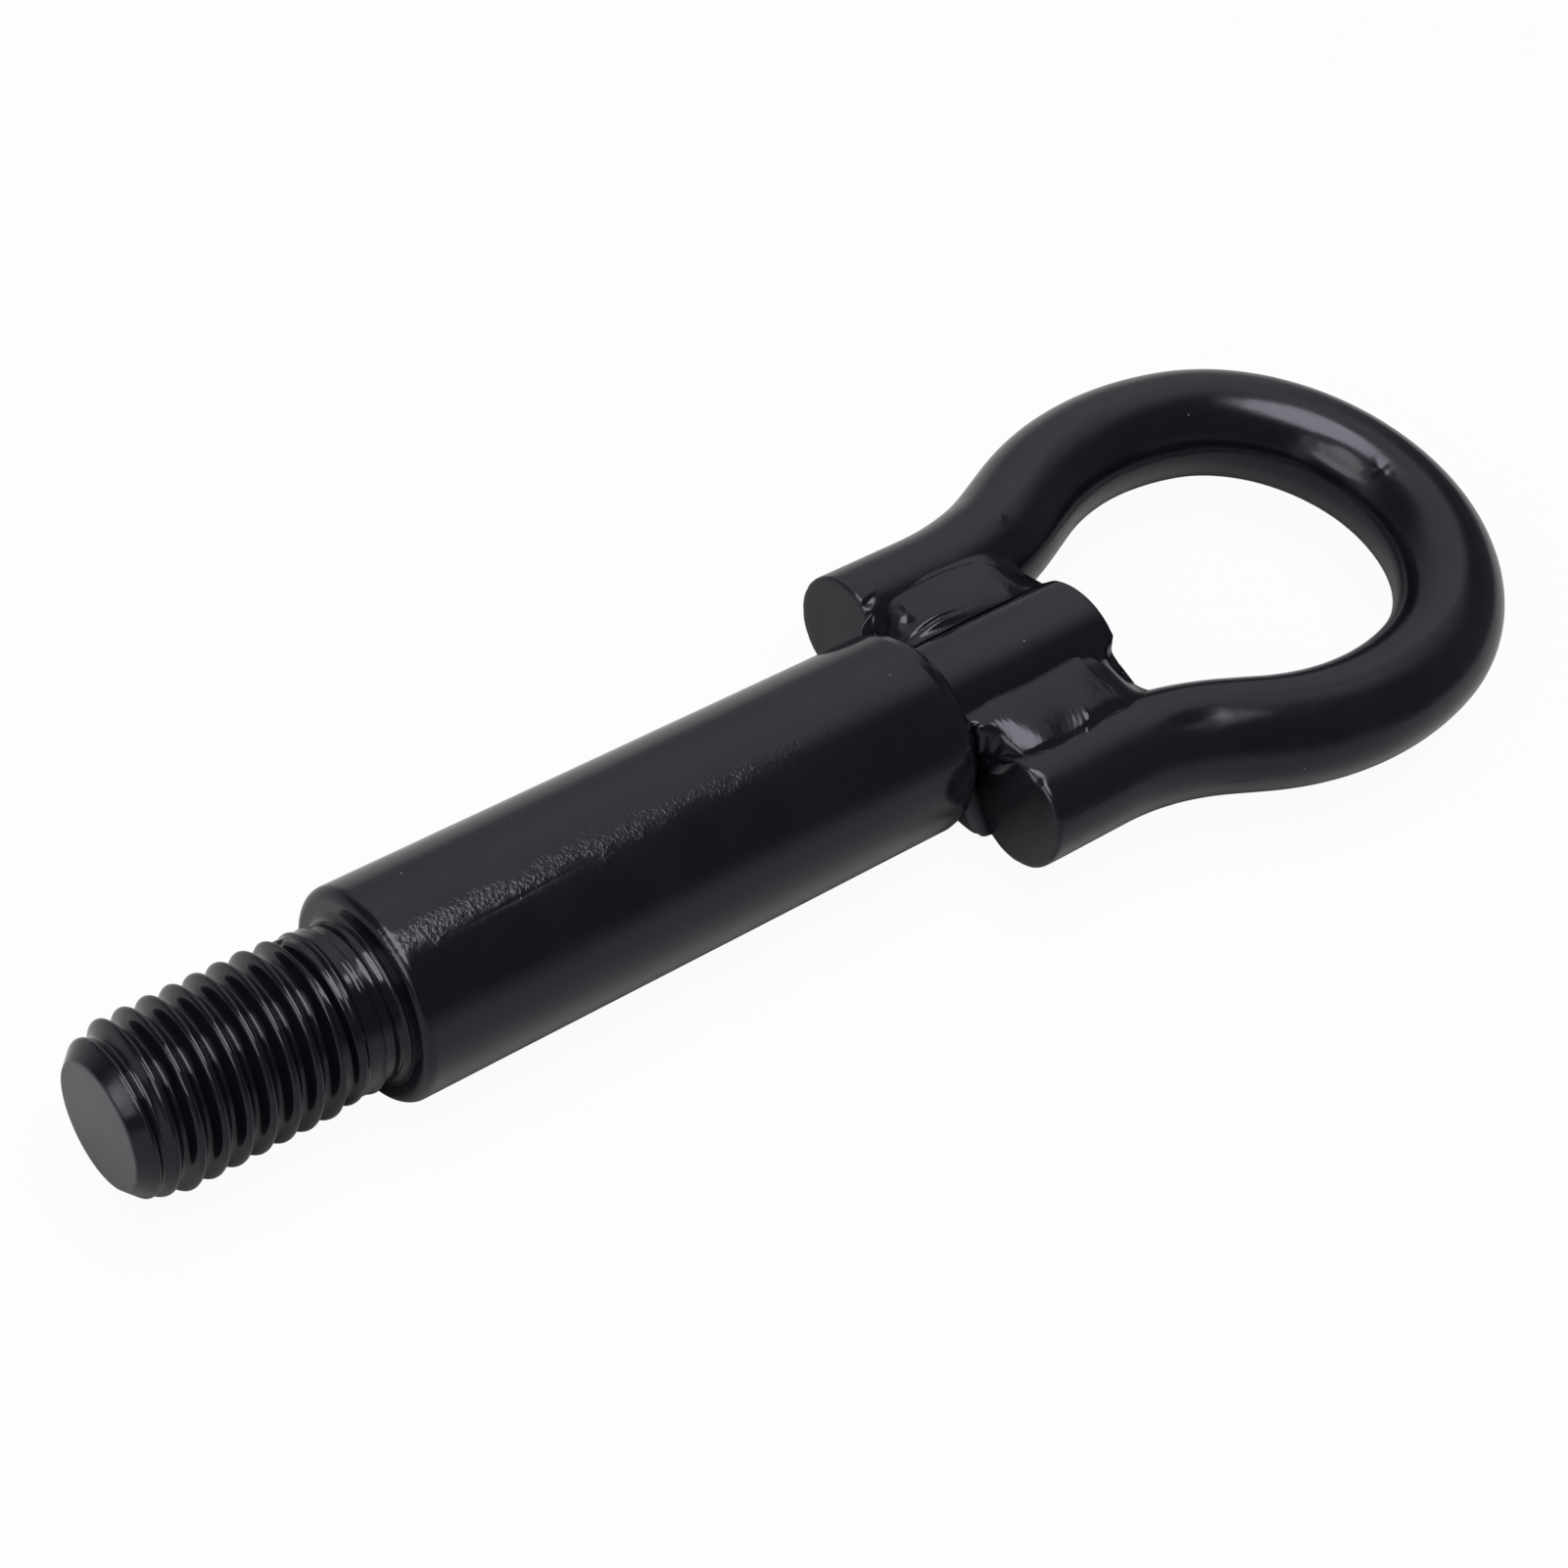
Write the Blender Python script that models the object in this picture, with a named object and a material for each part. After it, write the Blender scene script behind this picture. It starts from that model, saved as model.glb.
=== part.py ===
"""Screw-in tow eye: a turned shank with a left-hand thread, and an eye bent from round bar.

The two legs of the eye lie along the shank's spigot and are joined to it by four weld beads.
Lengths are in metres and +Z is up.  X runs along the shank from its threaded point to the tip
of the eye, whose bar is bent in a level plane.  Stations along the shank are measured from the
shoulder face, and an empty carries the whole part to its place: resting on the shank's body,
with the origin under the middle of it.
"""

import math

import bmesh
import bpy

# Threaded stud
THREAD_MAJOR_DIAMETER = 0.0177
THREAD_PITCH = 0.0025
THREAD_DEPTH = 0.00135
THREAD_CREST_WIDTH = 0.00050
THREAD_CREST_DROP = 0.00010
THREAD_ROOT_WIDTH = 0.00055
FIRST_CREST_FROM_POINT = 0.00178
STUD_LENGTH = 0.0281
POINT_DIAMETER = 0.0128
POINT_CHAMFER_LENGTH = 0.00155
POINT_CHAMFER_ANGLE = math.radians(45.0)
LEAD_IN_LENGTH = 0.0030

# Run-out, where the thread fades into the plain neck, and the groove before the shoulder
RUN_OUT_LENGTH = 0.0027
ROOT_RISES_EARLIER_BY = 0.3
PLAIN_NECK_LENGTH = 0.0038
NECK_RIDGE_DIAMETER = 0.01708
NECK_DIAMETER = 0.0166
GROOVE_LENGTH = 0.00275
GROOVE_SIDE_LENGTH = 0.00025
GROOVE_DIAMETER = 0.01606
GROOVE_FILLET = 0.0009

# Body and spigot
BODY_DIAMETER = 0.02225
BODY_LENGTH = 0.0695
SHOULDER_ROUNDING = 0.0012
BODY_END_CHAMFER_LENGTH = 0.00185
BODY_END_CHAMFER_HEIGHT = 0.00106
SPIGOT_DIAMETER = 0.0164
SPIGOT_LENGTH = 0.0228
SPIGOT_EDGE = 0.0004

# Eye, bent from round bar; its sizes are those of the bar's centre line
BAR_DIAMETER = 0.0124
EYE_TIP_STATION = 0.14364
EYE_TIP_RADIUS = 0.0224
EYE_TIP_ARC = math.radians(74.5)
EYE_SIDE_RADIUS = 0.0362
EYE_FLARE_RADIUS = 0.0394
EYE_FLARE_STRAIGHT = 0.0040
LEG_END_GAP = 0.0019
LEG_END_CHAMFER = 0.0004

# Weld beads, which lie in the valleys between the spigot and the legs
PART_GAP = 0.00025
WELD_ROOT_HEIGHT = 0.0020
WELD_CROWN = 0.0005
WELD_NOSE_LENGTH = 0.0026
WELD_NOSE_FACE = 0.08
WELD_FALL_LENGTH = 0.0055
WELD_END_HEIGHT = 0.30
WELD_END_HOLLOW = 0.0006
WELD_TAIL_LENGTH = 0.0018
WELD_TIP_REACH = 0.05
WELD_SPIGOT_TOE = math.radians(52.0)
WELD_RIGHT_LEG_TOE = math.radians(78.0)
WELD_LEFT_LEG_TOE = math.radians(68.0)
WELD_UNDER_LEG_TOE = math.radians(70.0)

# Fineness of the facets
SHANK_SIDES = 48
BAR_SIDES = 32
ARC_STEP = math.radians(5.5)
EDGE_STEPS = 5
WELD_SIDE_STEPS = 5
WELD_TOP_STEPS = 7
WELD_NOSE_STEPS = 6
WELD_RUN_STEPS = 7
WELD_FALL_STEPS = 6
WELD_TAIL_STEPS = 6
SHARP_ANGLE = math.radians(35.0)

BODY_RADIUS = BODY_DIAMETER / 2
SPIGOT_RADIUS = SPIGOT_DIAMETER / 2
BAR_RADIUS = BAR_DIAMETER / 2
MAJOR_RADIUS = THREAD_MAJOR_DIAMETER / 2
ROOT_RADIUS = MAJOR_RADIUS - THREAD_DEPTH
POINT_RADIUS = POINT_DIAMETER / 2
GROOVE_RADIUS = GROOVE_DIAMETER / 2
POINT_STATION = -STUD_LENGTH
SPIGOT_END = BODY_LENGTH + SPIGOT_LENGTH
LEG_END = BODY_LENGTH + LEG_END_GAP
LEG_OFFSET = SPIGOT_RADIUS + PART_GAP + BAR_RADIUS


def clear_scene():
    """Remove every object that the new file starts with."""
    for thing in list(bpy.data.objects):
        bpy.data.objects.remove(thing, do_unlink=True)


def black_paint(name, colour, roughness):
    """Glossy dark paint over steel."""
    material = bpy.data.materials.new(name)
    material.use_nodes = True
    shader = material.node_tree.nodes["Principled BSDF"]
    shader.inputs["Base Color"].default_value = (*colour, 1.0)
    shader.inputs["Roughness"].default_value = roughness
    shader.inputs["Metallic"].default_value = 0.0
    return material


def ease(value):
    """A smooth rise from 0 to 1 as the value goes from 0 to 1."""
    value = min(max(value, 0.0), 1.0)
    return value * value * (3.0 - 2.0 * value)


def blend(low, high, share):
    """The value that lies the given share of the way from low to high."""
    return low + (high - low) * share


def arc_rows(centre, radius, start, stop, steps):
    """Points along an arc of a flat profile, its two ends included."""
    rows = []
    for index in range(steps + 1):
        angle = blend(start, stop, index / steps)
        rows.append((centre[0] + radius * math.cos(angle), centre[1] + radius * math.sin(angle)))
    return rows


def add_object(name, mesh, material, frame):
    """Turn a finished bmesh into an object that stands under the frame."""
    bmesh.ops.recalc_face_normals(mesh, faces=mesh.faces)
    data = bpy.data.meshes.new(name)
    mesh.to_mesh(data)
    mesh.free()
    data.shade_smooth()
    data.set_sharp_from_angle(angle=SHARP_ANGLE)
    data.materials.append(material)
    piece = bpy.data.objects.new(name, data)
    bpy.context.scene.collection.objects.link(piece)
    piece.parent = frame
    return piece


def crest_radius(x):
    """Radius of the thread's crest: it rises from the chamfer and fades out at the neck."""
    from_point = x - POINT_STATION
    chamfer = POINT_RADIUS + from_point * math.tan(POINT_CHAMFER_ANGLE)
    chamfer_top = POINT_RADIUS + POINT_CHAMFER_LENGTH * math.tan(POINT_CHAMFER_ANGLE)
    lead_in = (from_point - POINT_CHAMFER_LENGTH) / LEAD_IN_LENGTH
    rising = blend(chamfer_top, MAJOR_RADIUS, ease(lead_in))
    fade = ease(run_out_share(x))
    return min(chamfer, blend(rising, NECK_RIDGE_DIAMETER / 2, fade))


def root_radius(x):
    """Radius of the thread's root: full depth along the stud, and shallow at the neck."""
    chamfer = POINT_RADIUS + (x - POINT_STATION) * math.tan(POINT_CHAMFER_ANGLE)
    share = run_out_share(x) + ROOT_RISES_EARLIER_BY
    return min(chamfer, blend(ROOT_RADIUS, NECK_DIAMETER / 2, ease(share)))


def run_out_share(x):
    """How far the run-out has come at station x: 0 on the full thread, 1 on the neck."""
    run_out_end = -GROOVE_LENGTH - PLAIN_NECK_LENGTH
    return (x - run_out_end + RUN_OUT_LENGTH) / RUN_OUT_LENGTH


def thread_form():
    """One pitch of the thread, as (share of the pitch past the crest, share of the depth)."""
    crest = THREAD_CREST_WIDTH / THREAD_PITCH / 2
    root = THREAD_ROOT_WIDTH / THREAD_PITCH / 2
    shoulder = 1.0 - THREAD_CREST_DROP / THREAD_DEPTH
    return [(-crest, shoulder), (0.0, 1.0), (crest, shoulder), (0.5 - root, 0.0), (0.5 + root, 0.0)]


def thread_rows(turn, start, stop):
    """Rows of one column of the thread, between two stations.

    The turn is the column's angle as a share of a full turn.  A crest moves back towards the
    point as the angle grows, which makes the helix left-handed.  Each row is (key, x, radius),
    and rows of neighbouring columns with the same key lie on the same helical line.
    """
    form = thread_form()
    first_crest = POINT_STATION + FIRST_CREST_FROM_POINT
    margin = THREAD_PITCH / len(form) / 3
    rows = []
    for crest in range(-2, math.ceil((stop - first_crest) / THREAD_PITCH) + 3):
        for index, (share, height) in enumerate(form):
            x = first_crest + (crest + share - turn) * THREAD_PITCH
            if start + margin < x < stop - margin:
                radius = blend(root_radius(x), crest_radius(x), height)
                rows.append(((1, crest * len(form) + index), x, radius))
    return rows


def point_rows():
    """Rim of the point face, and the ring where the chamfer reaches the thread's root."""
    run = (ROOT_RADIUS - POINT_RADIUS) / math.tan(POINT_CHAMFER_ANGLE)
    return [(POINT_STATION, POINT_RADIUS), (POINT_STATION + run, ROOT_RADIUS)]


def turned_rows():
    """Turned profile from the end of the neck to the end of the spigot, as (x, radius)."""
    rows = [(-GROOVE_LENGTH, blend(NECK_DIAMETER, NECK_RIDGE_DIAMETER, 0.5) / 2)]
    rows.append((-GROOVE_LENGTH + GROOVE_SIDE_LENGTH, GROOVE_RADIUS))
    fillet_centre = (-GROOVE_FILLET, GROOVE_RADIUS + GROOVE_FILLET)
    rows += arc_rows(fillet_centre, GROOVE_FILLET, -math.pi / 2, 0.0, EDGE_STEPS)
    edge_centre = (SHOULDER_ROUNDING, BODY_RADIUS - SHOULDER_ROUNDING)
    rows += arc_rows(edge_centre, SHOULDER_ROUNDING, math.pi, math.pi / 2, EDGE_STEPS)
    rows.append((BODY_LENGTH - BODY_END_CHAMFER_LENGTH, BODY_RADIUS))
    rows.append((BODY_LENGTH, BODY_RADIUS - BODY_END_CHAMFER_HEIGHT))
    rows.append((BODY_LENGTH, SPIGOT_RADIUS))
    rows.append((SPIGOT_END - SPIGOT_EDGE, SPIGOT_RADIUS))
    rows.append((SPIGOT_END, SPIGOT_RADIUS - SPIGOT_EDGE))
    return rows


def stitch_columns(mesh, left, right):
    """Faces between two neighbouring columns; a row that one of them lacks ends in a triangle."""
    last = (3, 0)
    i = 0
    j = 0
    while i + 1 < len(left) or j + 1 < len(right):
        next_left = left[i + 1][0] if i + 1 < len(left) else last
        next_right = right[j + 1][0] if j + 1 < len(right) else last
        if next_left == next_right:
            mesh.faces.new((left[i][1], left[i + 1][1], right[j + 1][1], right[j][1]))
            i += 1
            j += 1
        elif next_left < next_right:
            mesh.faces.new((left[i][1], left[i + 1][1], right[j][1]))
            i += 1
        else:
            mesh.faces.new((left[i][1], right[j + 1][1], right[j][1]))
            j += 1


def build_shank(material, frame):
    """The turned shank: point, helical thread, neck, groove, shoulder, body and spigot."""
    mesh = bmesh.new()
    before = point_rows()
    after = turned_rows()
    columns = []
    for index in range(SHANK_SIDES):
        turn = (index + 0.5) / SHANK_SIDES
        rows = [((0, place), x, radius) for place, (x, radius) in enumerate(before)]
        rows += thread_rows(turn, before[-1][0], after[0][0])
        rows += [((2, place), x, radius) for place, (x, radius) in enumerate(after)]
        across = math.cos(turn * math.tau)
        up = math.sin(turn * math.tau)
        columns.append([(key, mesh.verts.new((x, r * across, r * up))) for key, x, r in rows])
    pitch_keys = len(thread_form())
    for index, column in enumerate(columns):
        following = columns[(index + 1) % SHANK_SIDES]
        if index + 1 == SHANK_SIDES:
            following = [((g, k + pitch_keys) if g == 1 else (g, k), v) for (g, k), v in following]
        stitch_columns(mesh, column, following)
    mesh.faces.new([column[0][1] for column in columns])
    mesh.faces.new([column[-1][1] for column in columns])
    return add_object("shank", mesh, material, frame)


def flare_angle():
    """Angle between the legs and the straight part of the eye's sides.

    The leg bends outwards by this angle, runs straight and then meets the side arc, so the rise
    of the two arcs and the straight part has to equal the distance from the leg to the widest
    place of the eye.
    """
    widest = EYE_SIDE_RADIUS - (EYE_SIDE_RADIUS - EYE_TIP_RADIUS) * math.sin(EYE_TIP_ARC)
    rise = widest - LEG_OFFSET
    arcs = EYE_SIDE_RADIUS + EYE_FLARE_RADIUS
    straight = EYE_FLARE_STRAIGHT
    root = math.sqrt(straight ** 2 + rise * (2 * arcs - rise))
    return 2 * math.atan((root - straight) / (2 * arcs - rise))


def eye_half():
    """Centre line of half the eye, tip to leg end, as (x, y, direction of travel).

    The tip arc, the longer side arc, a short straight and the outward bend follow each other
    with common tangents, and the leg runs straight to its cut end.
    """
    flare = flare_angle()
    tip_centre = (EYE_TIP_STATION - EYE_TIP_RADIUS, 0.0)
    offset = EYE_SIDE_RADIUS - EYE_TIP_RADIUS
    side_centre = (
        tip_centre[0] - offset * math.cos(EYE_TIP_ARC),
        tip_centre[1] - offset * math.sin(EYE_TIP_ARC),
    )
    rows = []
    steps = math.ceil(EYE_TIP_ARC / ARC_STEP)
    for index, (x, y) in enumerate(arc_rows(tip_centre, EYE_TIP_RADIUS, 0.0, EYE_TIP_ARC, steps)):
        rows.append((x, y, EYE_TIP_ARC * index / steps + math.pi / 2))
    side_stop = math.pi / 2 + flare
    steps = math.ceil((side_stop - EYE_TIP_ARC) / ARC_STEP)
    side = arc_rows(side_centre, EYE_SIDE_RADIUS, EYE_TIP_ARC, side_stop, steps)
    for index, (x, y) in enumerate(side[1:], start=1):
        rows.append((x, y, blend(EYE_TIP_ARC, side_stop, index / steps) + math.pi / 2))
    bend_start = flare_start_station()
    steps = math.ceil(flare / ARC_STEP)
    for index in range(steps + 1):
        angle = flare * (1 - index / steps)
        x = bend_start + EYE_FLARE_RADIUS * math.sin(angle)
        y = LEG_OFFSET + EYE_FLARE_RADIUS * (1 - math.cos(angle))
        rows.append((x, y, math.pi + angle))
    rows.append((LEG_END + LEG_END_CHAMFER, LEG_OFFSET, math.pi))
    rows.append((LEG_END, LEG_OFFSET, math.pi))
    return rows


def flare_start_station():
    """Station where the straight leg ends and its outward bend begins."""
    flare = flare_angle()
    offset = EYE_SIDE_RADIUS - EYE_TIP_RADIUS
    side_centre = EYE_TIP_STATION - EYE_TIP_RADIUS - offset * math.cos(EYE_TIP_ARC)
    side_end = side_centre - EYE_SIDE_RADIUS * math.sin(flare)
    return side_end - EYE_FLARE_STRAIGHT * math.cos(flare) - EYE_FLARE_RADIUS * math.sin(flare)


def build_eye_bar(material, frame):
    """The bent bar: rings of the bar's section carried along the whole centre line."""
    half = eye_half()
    path = [(x, -y, math.pi - direction) for x, y, direction in reversed(half)]
    path += half[1:]
    mesh = bmesh.new()
    rings = []
    for index, (x, y, direction) in enumerate(path):
        at_end = index in (0, len(path) - 1)
        radius = BAR_RADIUS - (LEG_END_CHAMFER if at_end else 0.0)
        ring = []
        for side in range(BAR_SIDES):
            angle = math.tau * side / BAR_SIDES
            out = radius * math.cos(angle)
            place = (x + out * math.sin(direction), y - out * math.cos(direction))
            ring.append(mesh.verts.new((*place, radius * math.sin(angle))))
        rings.append(ring)
    join_rings(mesh, rings)
    return add_object("eye_bar", mesh, material, frame)


def join_rings(mesh, rings):
    """Walls between rings of equal count, and a flat cap on the first and the last."""
    for ring, following in zip(rings, rings[1:]):
        for index, corner in enumerate(ring):
            beside = (index + 1) % len(ring)
            mesh.faces.new((corner, ring[beside], following[beside], following[index]))
    mesh.faces.new(rings[0])
    mesh.faces.new(rings[-1])


def leg_at(x):
    """Distance of the leg's centre line from the shank's axis at a station, and its slope."""
    along = max(x - flare_start_station(), 0.0)
    angle = math.asin(along / EYE_FLARE_RADIUS)
    return LEG_OFFSET + EYE_FLARE_RADIUS * (1 - math.cos(angle)), angle


def weld_section(x, leg_toe, height, reach, crown):
    """Outline of a bead at a station, as (distance from the shank's axis, height) points.

    One side follows the leg and the other the spigot, each a small gap away, from the weld's
    root to its toes.  Height is the share of both sides that is covered, and reach is the share
    of the way from the leg to the spigot.  The top between the toes is arched by the crown,
    which is negative where the bead is hollow.
    """
    centre, slope = leg_at(x)
    leg_radius = BAR_RADIUS + PART_GAP
    spigot_radius = SPIGOT_RADIUS + PART_GAP
    leg_root = math.asin(WELD_ROOT_HEIGHT / leg_radius)
    spigot_root = math.asin(WELD_ROOT_HEIGHT / spigot_radius)
    leg_side = []
    spigot_side = []
    for index in range(WELD_SIDE_STEPS + 1):
        share = height * index / WELD_SIDE_STEPS
        angle = blend(leg_root, leg_toe, share)
        on_leg = (
            centre - leg_radius / math.cos(slope) * math.cos(angle),
            leg_radius * math.sin(angle),
        )
        angle = blend(spigot_root, WELD_SPIGOT_TOE, share)
        on_spigot = (spigot_radius * math.cos(angle), spigot_radius * math.sin(angle))
        leg_side.append(on_leg)
        spigot_side.append(tuple(blend(a, b, reach) for a, b in zip(on_leg, on_spigot)))
    top = []
    for index in range(1, WELD_TOP_STEPS):
        share = index / WELD_TOP_STEPS
        across = blend(leg_side[-1][0], spigot_side[-1][0], share)
        level = blend(leg_side[-1][1], spigot_side[-1][1], share)
        top.append((across, level + crown * 4 * share * (1 - share)))
    return leg_side + top + spigot_side[::-1]


def weld_stations():
    """Stations of a bead's sections, as (station, covered height, reach, crown).

    The nose swells like a quarter ellipse close behind the body.  Towards the end of the spigot
    the bead sinks and its crown turns into a hollow, and past that end its tail sweeps back to
    the leg.
    """
    nose_start = BODY_LENGTH + PART_GAP
    run_start = nose_start + WELD_NOSE_LENGTH
    run_end = SPIGOT_END - WELD_FALL_LENGTH
    tail_end = SPIGOT_END + WELD_TAIL_LENGTH
    stations = []
    for index in range(WELD_NOSE_STEPS):
        share = index / WELD_NOSE_STEPS
        height = swell(blend(WELD_NOSE_FACE, 1.0, share))
        stations.append((blend(nose_start, run_start, share), height, 1.0, WELD_CROWN * height))
    for index in range(WELD_RUN_STEPS):
        share = index / WELD_RUN_STEPS
        stations.append((blend(run_start, run_end, share), 1.0, 1.0, WELD_CROWN))
    for index in range(WELD_FALL_STEPS):
        share = index / WELD_FALL_STEPS
        height = blend(1.0, WELD_END_HEIGHT, ease(share))
        crown = blend(WELD_CROWN, -WELD_END_HOLLOW, ease(share))
        stations.append((blend(run_end, SPIGOT_END, share), height, 1.0, crown))
    for index in range(WELD_TAIL_STEPS + 1):
        share = index / WELD_TAIL_STEPS
        reach = blend(1.0, WELD_TIP_REACH, swell(share))
        crown = -WELD_END_HOLLOW * reach
        stations.append((blend(SPIGOT_END, tail_end, share), WELD_END_HEIGHT, reach, crown))
    return stations


def swell(share):
    """Quarter ellipse: rises steeply from 0 and levels out at 1."""
    return math.sqrt(1.0 - (1.0 - share) ** 2)


def build_weld(name, side, face, leg_toe, material, frame):
    """One bead; side is the leg's side of the shank and face is 1 on top and -1 underneath."""
    mesh = bmesh.new()
    rings = []
    for x, height, reach, crown in weld_stations():
        outline = weld_section(x, leg_toe, height, reach, crown)
        rings.append([mesh.verts.new((x, side * across, face * up)) for across, up in outline])
    join_rings(mesh, rings)
    return add_object(name, mesh, material, frame)


def build_tow_eye():
    """Make every piece under one empty that carries the part to its place."""
    clear_scene()
    shank_paint = black_paint("shank_paint", (0.012, 0.012, 0.014), 0.32)
    eye_paint = black_paint("eye_paint", (0.013, 0.013, 0.015), 0.34)
    weld_paint = black_paint("weld_paint", (0.011, 0.011, 0.013), 0.26)
    frame = bpy.data.objects.new("tow_eye_frame", None)
    bpy.context.scene.collection.objects.link(frame)
    eye_tip = EYE_TIP_STATION + BAR_RADIUS
    rest_height = BODY_RADIUS * math.cos(math.pi / SHANK_SIDES)
    frame.location = (-(POINT_STATION + eye_tip) / 2, 0.0, rest_height)
    build_shank(shank_paint, frame)
    build_eye_bar(eye_paint, frame)
    build_weld("weld_top_right", -1, 1, WELD_RIGHT_LEG_TOE, weld_paint, frame)
    build_weld("weld_top_left", 1, 1, WELD_LEFT_LEG_TOE, weld_paint, frame)
    build_weld("weld_under_right", -1, -1, WELD_UNDER_LEG_TOE, weld_paint, frame)
    build_weld("weld_under_left", 1, -1, WELD_UNDER_LEG_TOE, weld_paint, frame)
    bpy.context.view_layer.update()


build_tow_eye()
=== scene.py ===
"""Studio scene of a black-painted screw-in tow eye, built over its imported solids.

Sizes in this file are millimetres and degrees unless a name says otherwise.  A station is a
distance along the shank, measured from the shoulder face towards the eye, and an angle round the
shank starts at the far side and rises over the top.  SolidFrame.place turns stations into the
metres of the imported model.
"""

import enum
import itertools
import logging
import math
from dataclasses import dataclass, field

import bmesh
import bpy
import numpy as np
from mathutils import Matrix, Vector

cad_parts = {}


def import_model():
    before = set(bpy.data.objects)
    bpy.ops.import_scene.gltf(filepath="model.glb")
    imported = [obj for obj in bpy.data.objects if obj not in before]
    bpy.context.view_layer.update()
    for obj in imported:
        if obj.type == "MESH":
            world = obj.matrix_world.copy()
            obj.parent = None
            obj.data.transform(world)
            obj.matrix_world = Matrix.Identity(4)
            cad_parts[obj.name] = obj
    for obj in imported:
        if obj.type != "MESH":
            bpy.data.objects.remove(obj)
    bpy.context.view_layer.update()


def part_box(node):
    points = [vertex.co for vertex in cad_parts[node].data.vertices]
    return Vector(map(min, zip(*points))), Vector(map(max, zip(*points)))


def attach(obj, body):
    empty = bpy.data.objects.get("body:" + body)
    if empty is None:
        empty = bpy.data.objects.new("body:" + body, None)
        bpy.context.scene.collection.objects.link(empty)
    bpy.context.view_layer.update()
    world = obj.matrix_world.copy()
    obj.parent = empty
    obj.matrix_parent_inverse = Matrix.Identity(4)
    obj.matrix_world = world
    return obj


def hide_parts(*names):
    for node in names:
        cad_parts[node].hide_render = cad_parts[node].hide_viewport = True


log = logging.getLogger("tow_eye")

Socket = bpy.types.NodeSocket
Pairs = tuple[tuple[float, float], ...]

MM = 0.001
TAU = 2.0 * math.pi
MERGE_DISTANCE = 1e-6
DUST_COLOUR = (0.16, 0.155, 0.15)
RUST_COLOUR = (0.060, 0.022, 0.012)


class Side(enum.Enum):
    """Side of the shank that a leg or a bead lies on; the value is the sign of Y."""

    LEFT = 1
    RIGHT = -1


class Face(enum.Enum):
    """Face of the eye that a bead lies on; the value is the sign of Z."""

    TOP = 1
    UNDER = -1


class Slot(enum.Enum):
    """Material slots of the record."""

    SHANK = "shank_paint"
    EYE = "eye_paint"
    WELD = "weld_paint"


@dataclass(frozen=True)
class SolidFrame:
    """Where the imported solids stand, in metres.

    Args:
        shoulder_x: X of the shoulder face.
        axis_z: height of the shank's axis.
    """

    shoulder_x: float
    axis_z: float

    @classmethod
    def from_solids(cls, stud_length: float) -> "SolidFrame":
        """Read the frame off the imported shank.

        Args:
            stud_length: length of the stud from the point to the shoulder.

        Returns:
            The frame.
        """
        low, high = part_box("shank")
        return cls(low.x + stud_length * MM, (low.z + high.z) / 2)

    def place(self, station: np.ndarray, across: np.ndarray, up: np.ndarray) -> np.ndarray:
        """Turn millimetres from the shoulder and the axis into metres of the model.

        Args:
            station: distances along the shank.
            across: distances to the left of the axis.
            up: heights over the axis.

        Returns:
            Points, with X, Y and Z last.
        """
        x = self.shoulder_x + station * MM
        y = across * MM
        z = self.axis_z + up * MM
        return np.stack(np.broadcast_arrays(x, y, z), axis=-1)


@dataclass(frozen=True)
class Bump:
    """A rounded swelling, or a dent where its height is negative.

    Args:
        along: its place along the piece.
        across: its place across the piece, in that piece's own measure.
        length: half-length, to where it has fallen to about a third.
        width: half-width in the measure of across.
        height: height of its middle.
        lean: how much across grows with along, for one that lies aslant.
    """

    along: float
    across: float
    length: float
    width: float
    height: float
    lean: float = 0.0

    def rise(self, along: np.ndarray, across: np.ndarray) -> np.ndarray:
        """Height of the bump at places: a bell curve in both directions.

        Args:
            along: distances along the piece.
            across: places across it, in its own measure.

        Returns:
            The heights.
        """
        off = along - self.along
        aside = across - self.across - self.lean * off
        return self.height * np.exp(-((off / self.length) ** 2) - (aside / self.width) ** 2)


def total_rise(bumps: tuple[Bump, ...], along: np.ndarray, across: np.ndarray) -> np.ndarray:
    """Sum of the heights of several bumps at places.

    Args:
        bumps: the bumps.
        along: distances along the piece.
        across: places across it, in its own measure.

    Returns:
        The summed heights.
    """
    total = np.zeros(np.broadcast(along, across).shape)
    for bump in bumps:
        total = total + bump.rise(along, across)
    return total


def smooth_step(value: np.ndarray) -> np.ndarray:
    """A smooth rise from 0 to 1 as the value goes from 0 to 1."""
    part = np.clip(value, 0.0, 1.0)
    return part * part * (3.0 - 2.0 * part)


def window(
    value: np.ndarray, start: float, rise: float, end: float, fall: float
) -> np.ndarray:
    """1 between a start and an end, with smooth flanks inside them.

    Args:
        value: the values.
        start: where the window opens.
        rise: length over which it opens.
        end: where it is shut again.
        fall: length over which it shuts.

    Returns:
        The product of a smooth step up and a smooth step down.
    """
    return smooth_step((value - start) / rise) * smooth_step((end - value) / fall)


def peak(value: np.ndarray, middle: float, half: float) -> np.ndarray:
    """1 at a middle, with a smooth fall to 0 at half a width on either side."""
    return smooth_step(1.0 - np.abs(value - middle) / half)


def soft_least(first: np.ndarray, second: np.ndarray, width: float) -> np.ndarray:
    """The lesser of two values, with the corner between them rounded over a width.

    Args:
        first: one value.
        second: the other value.
        width: difference of the two within which the corner is rounded.

    Returns:
        The rounded minimum: the lesser value less a small parabola where the two are close.
    """
    near = np.clip(1.0 - np.abs(first - second) / width, 0.0, 1.0)
    return np.minimum(first, second) - near * near * width / 4.0


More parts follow.
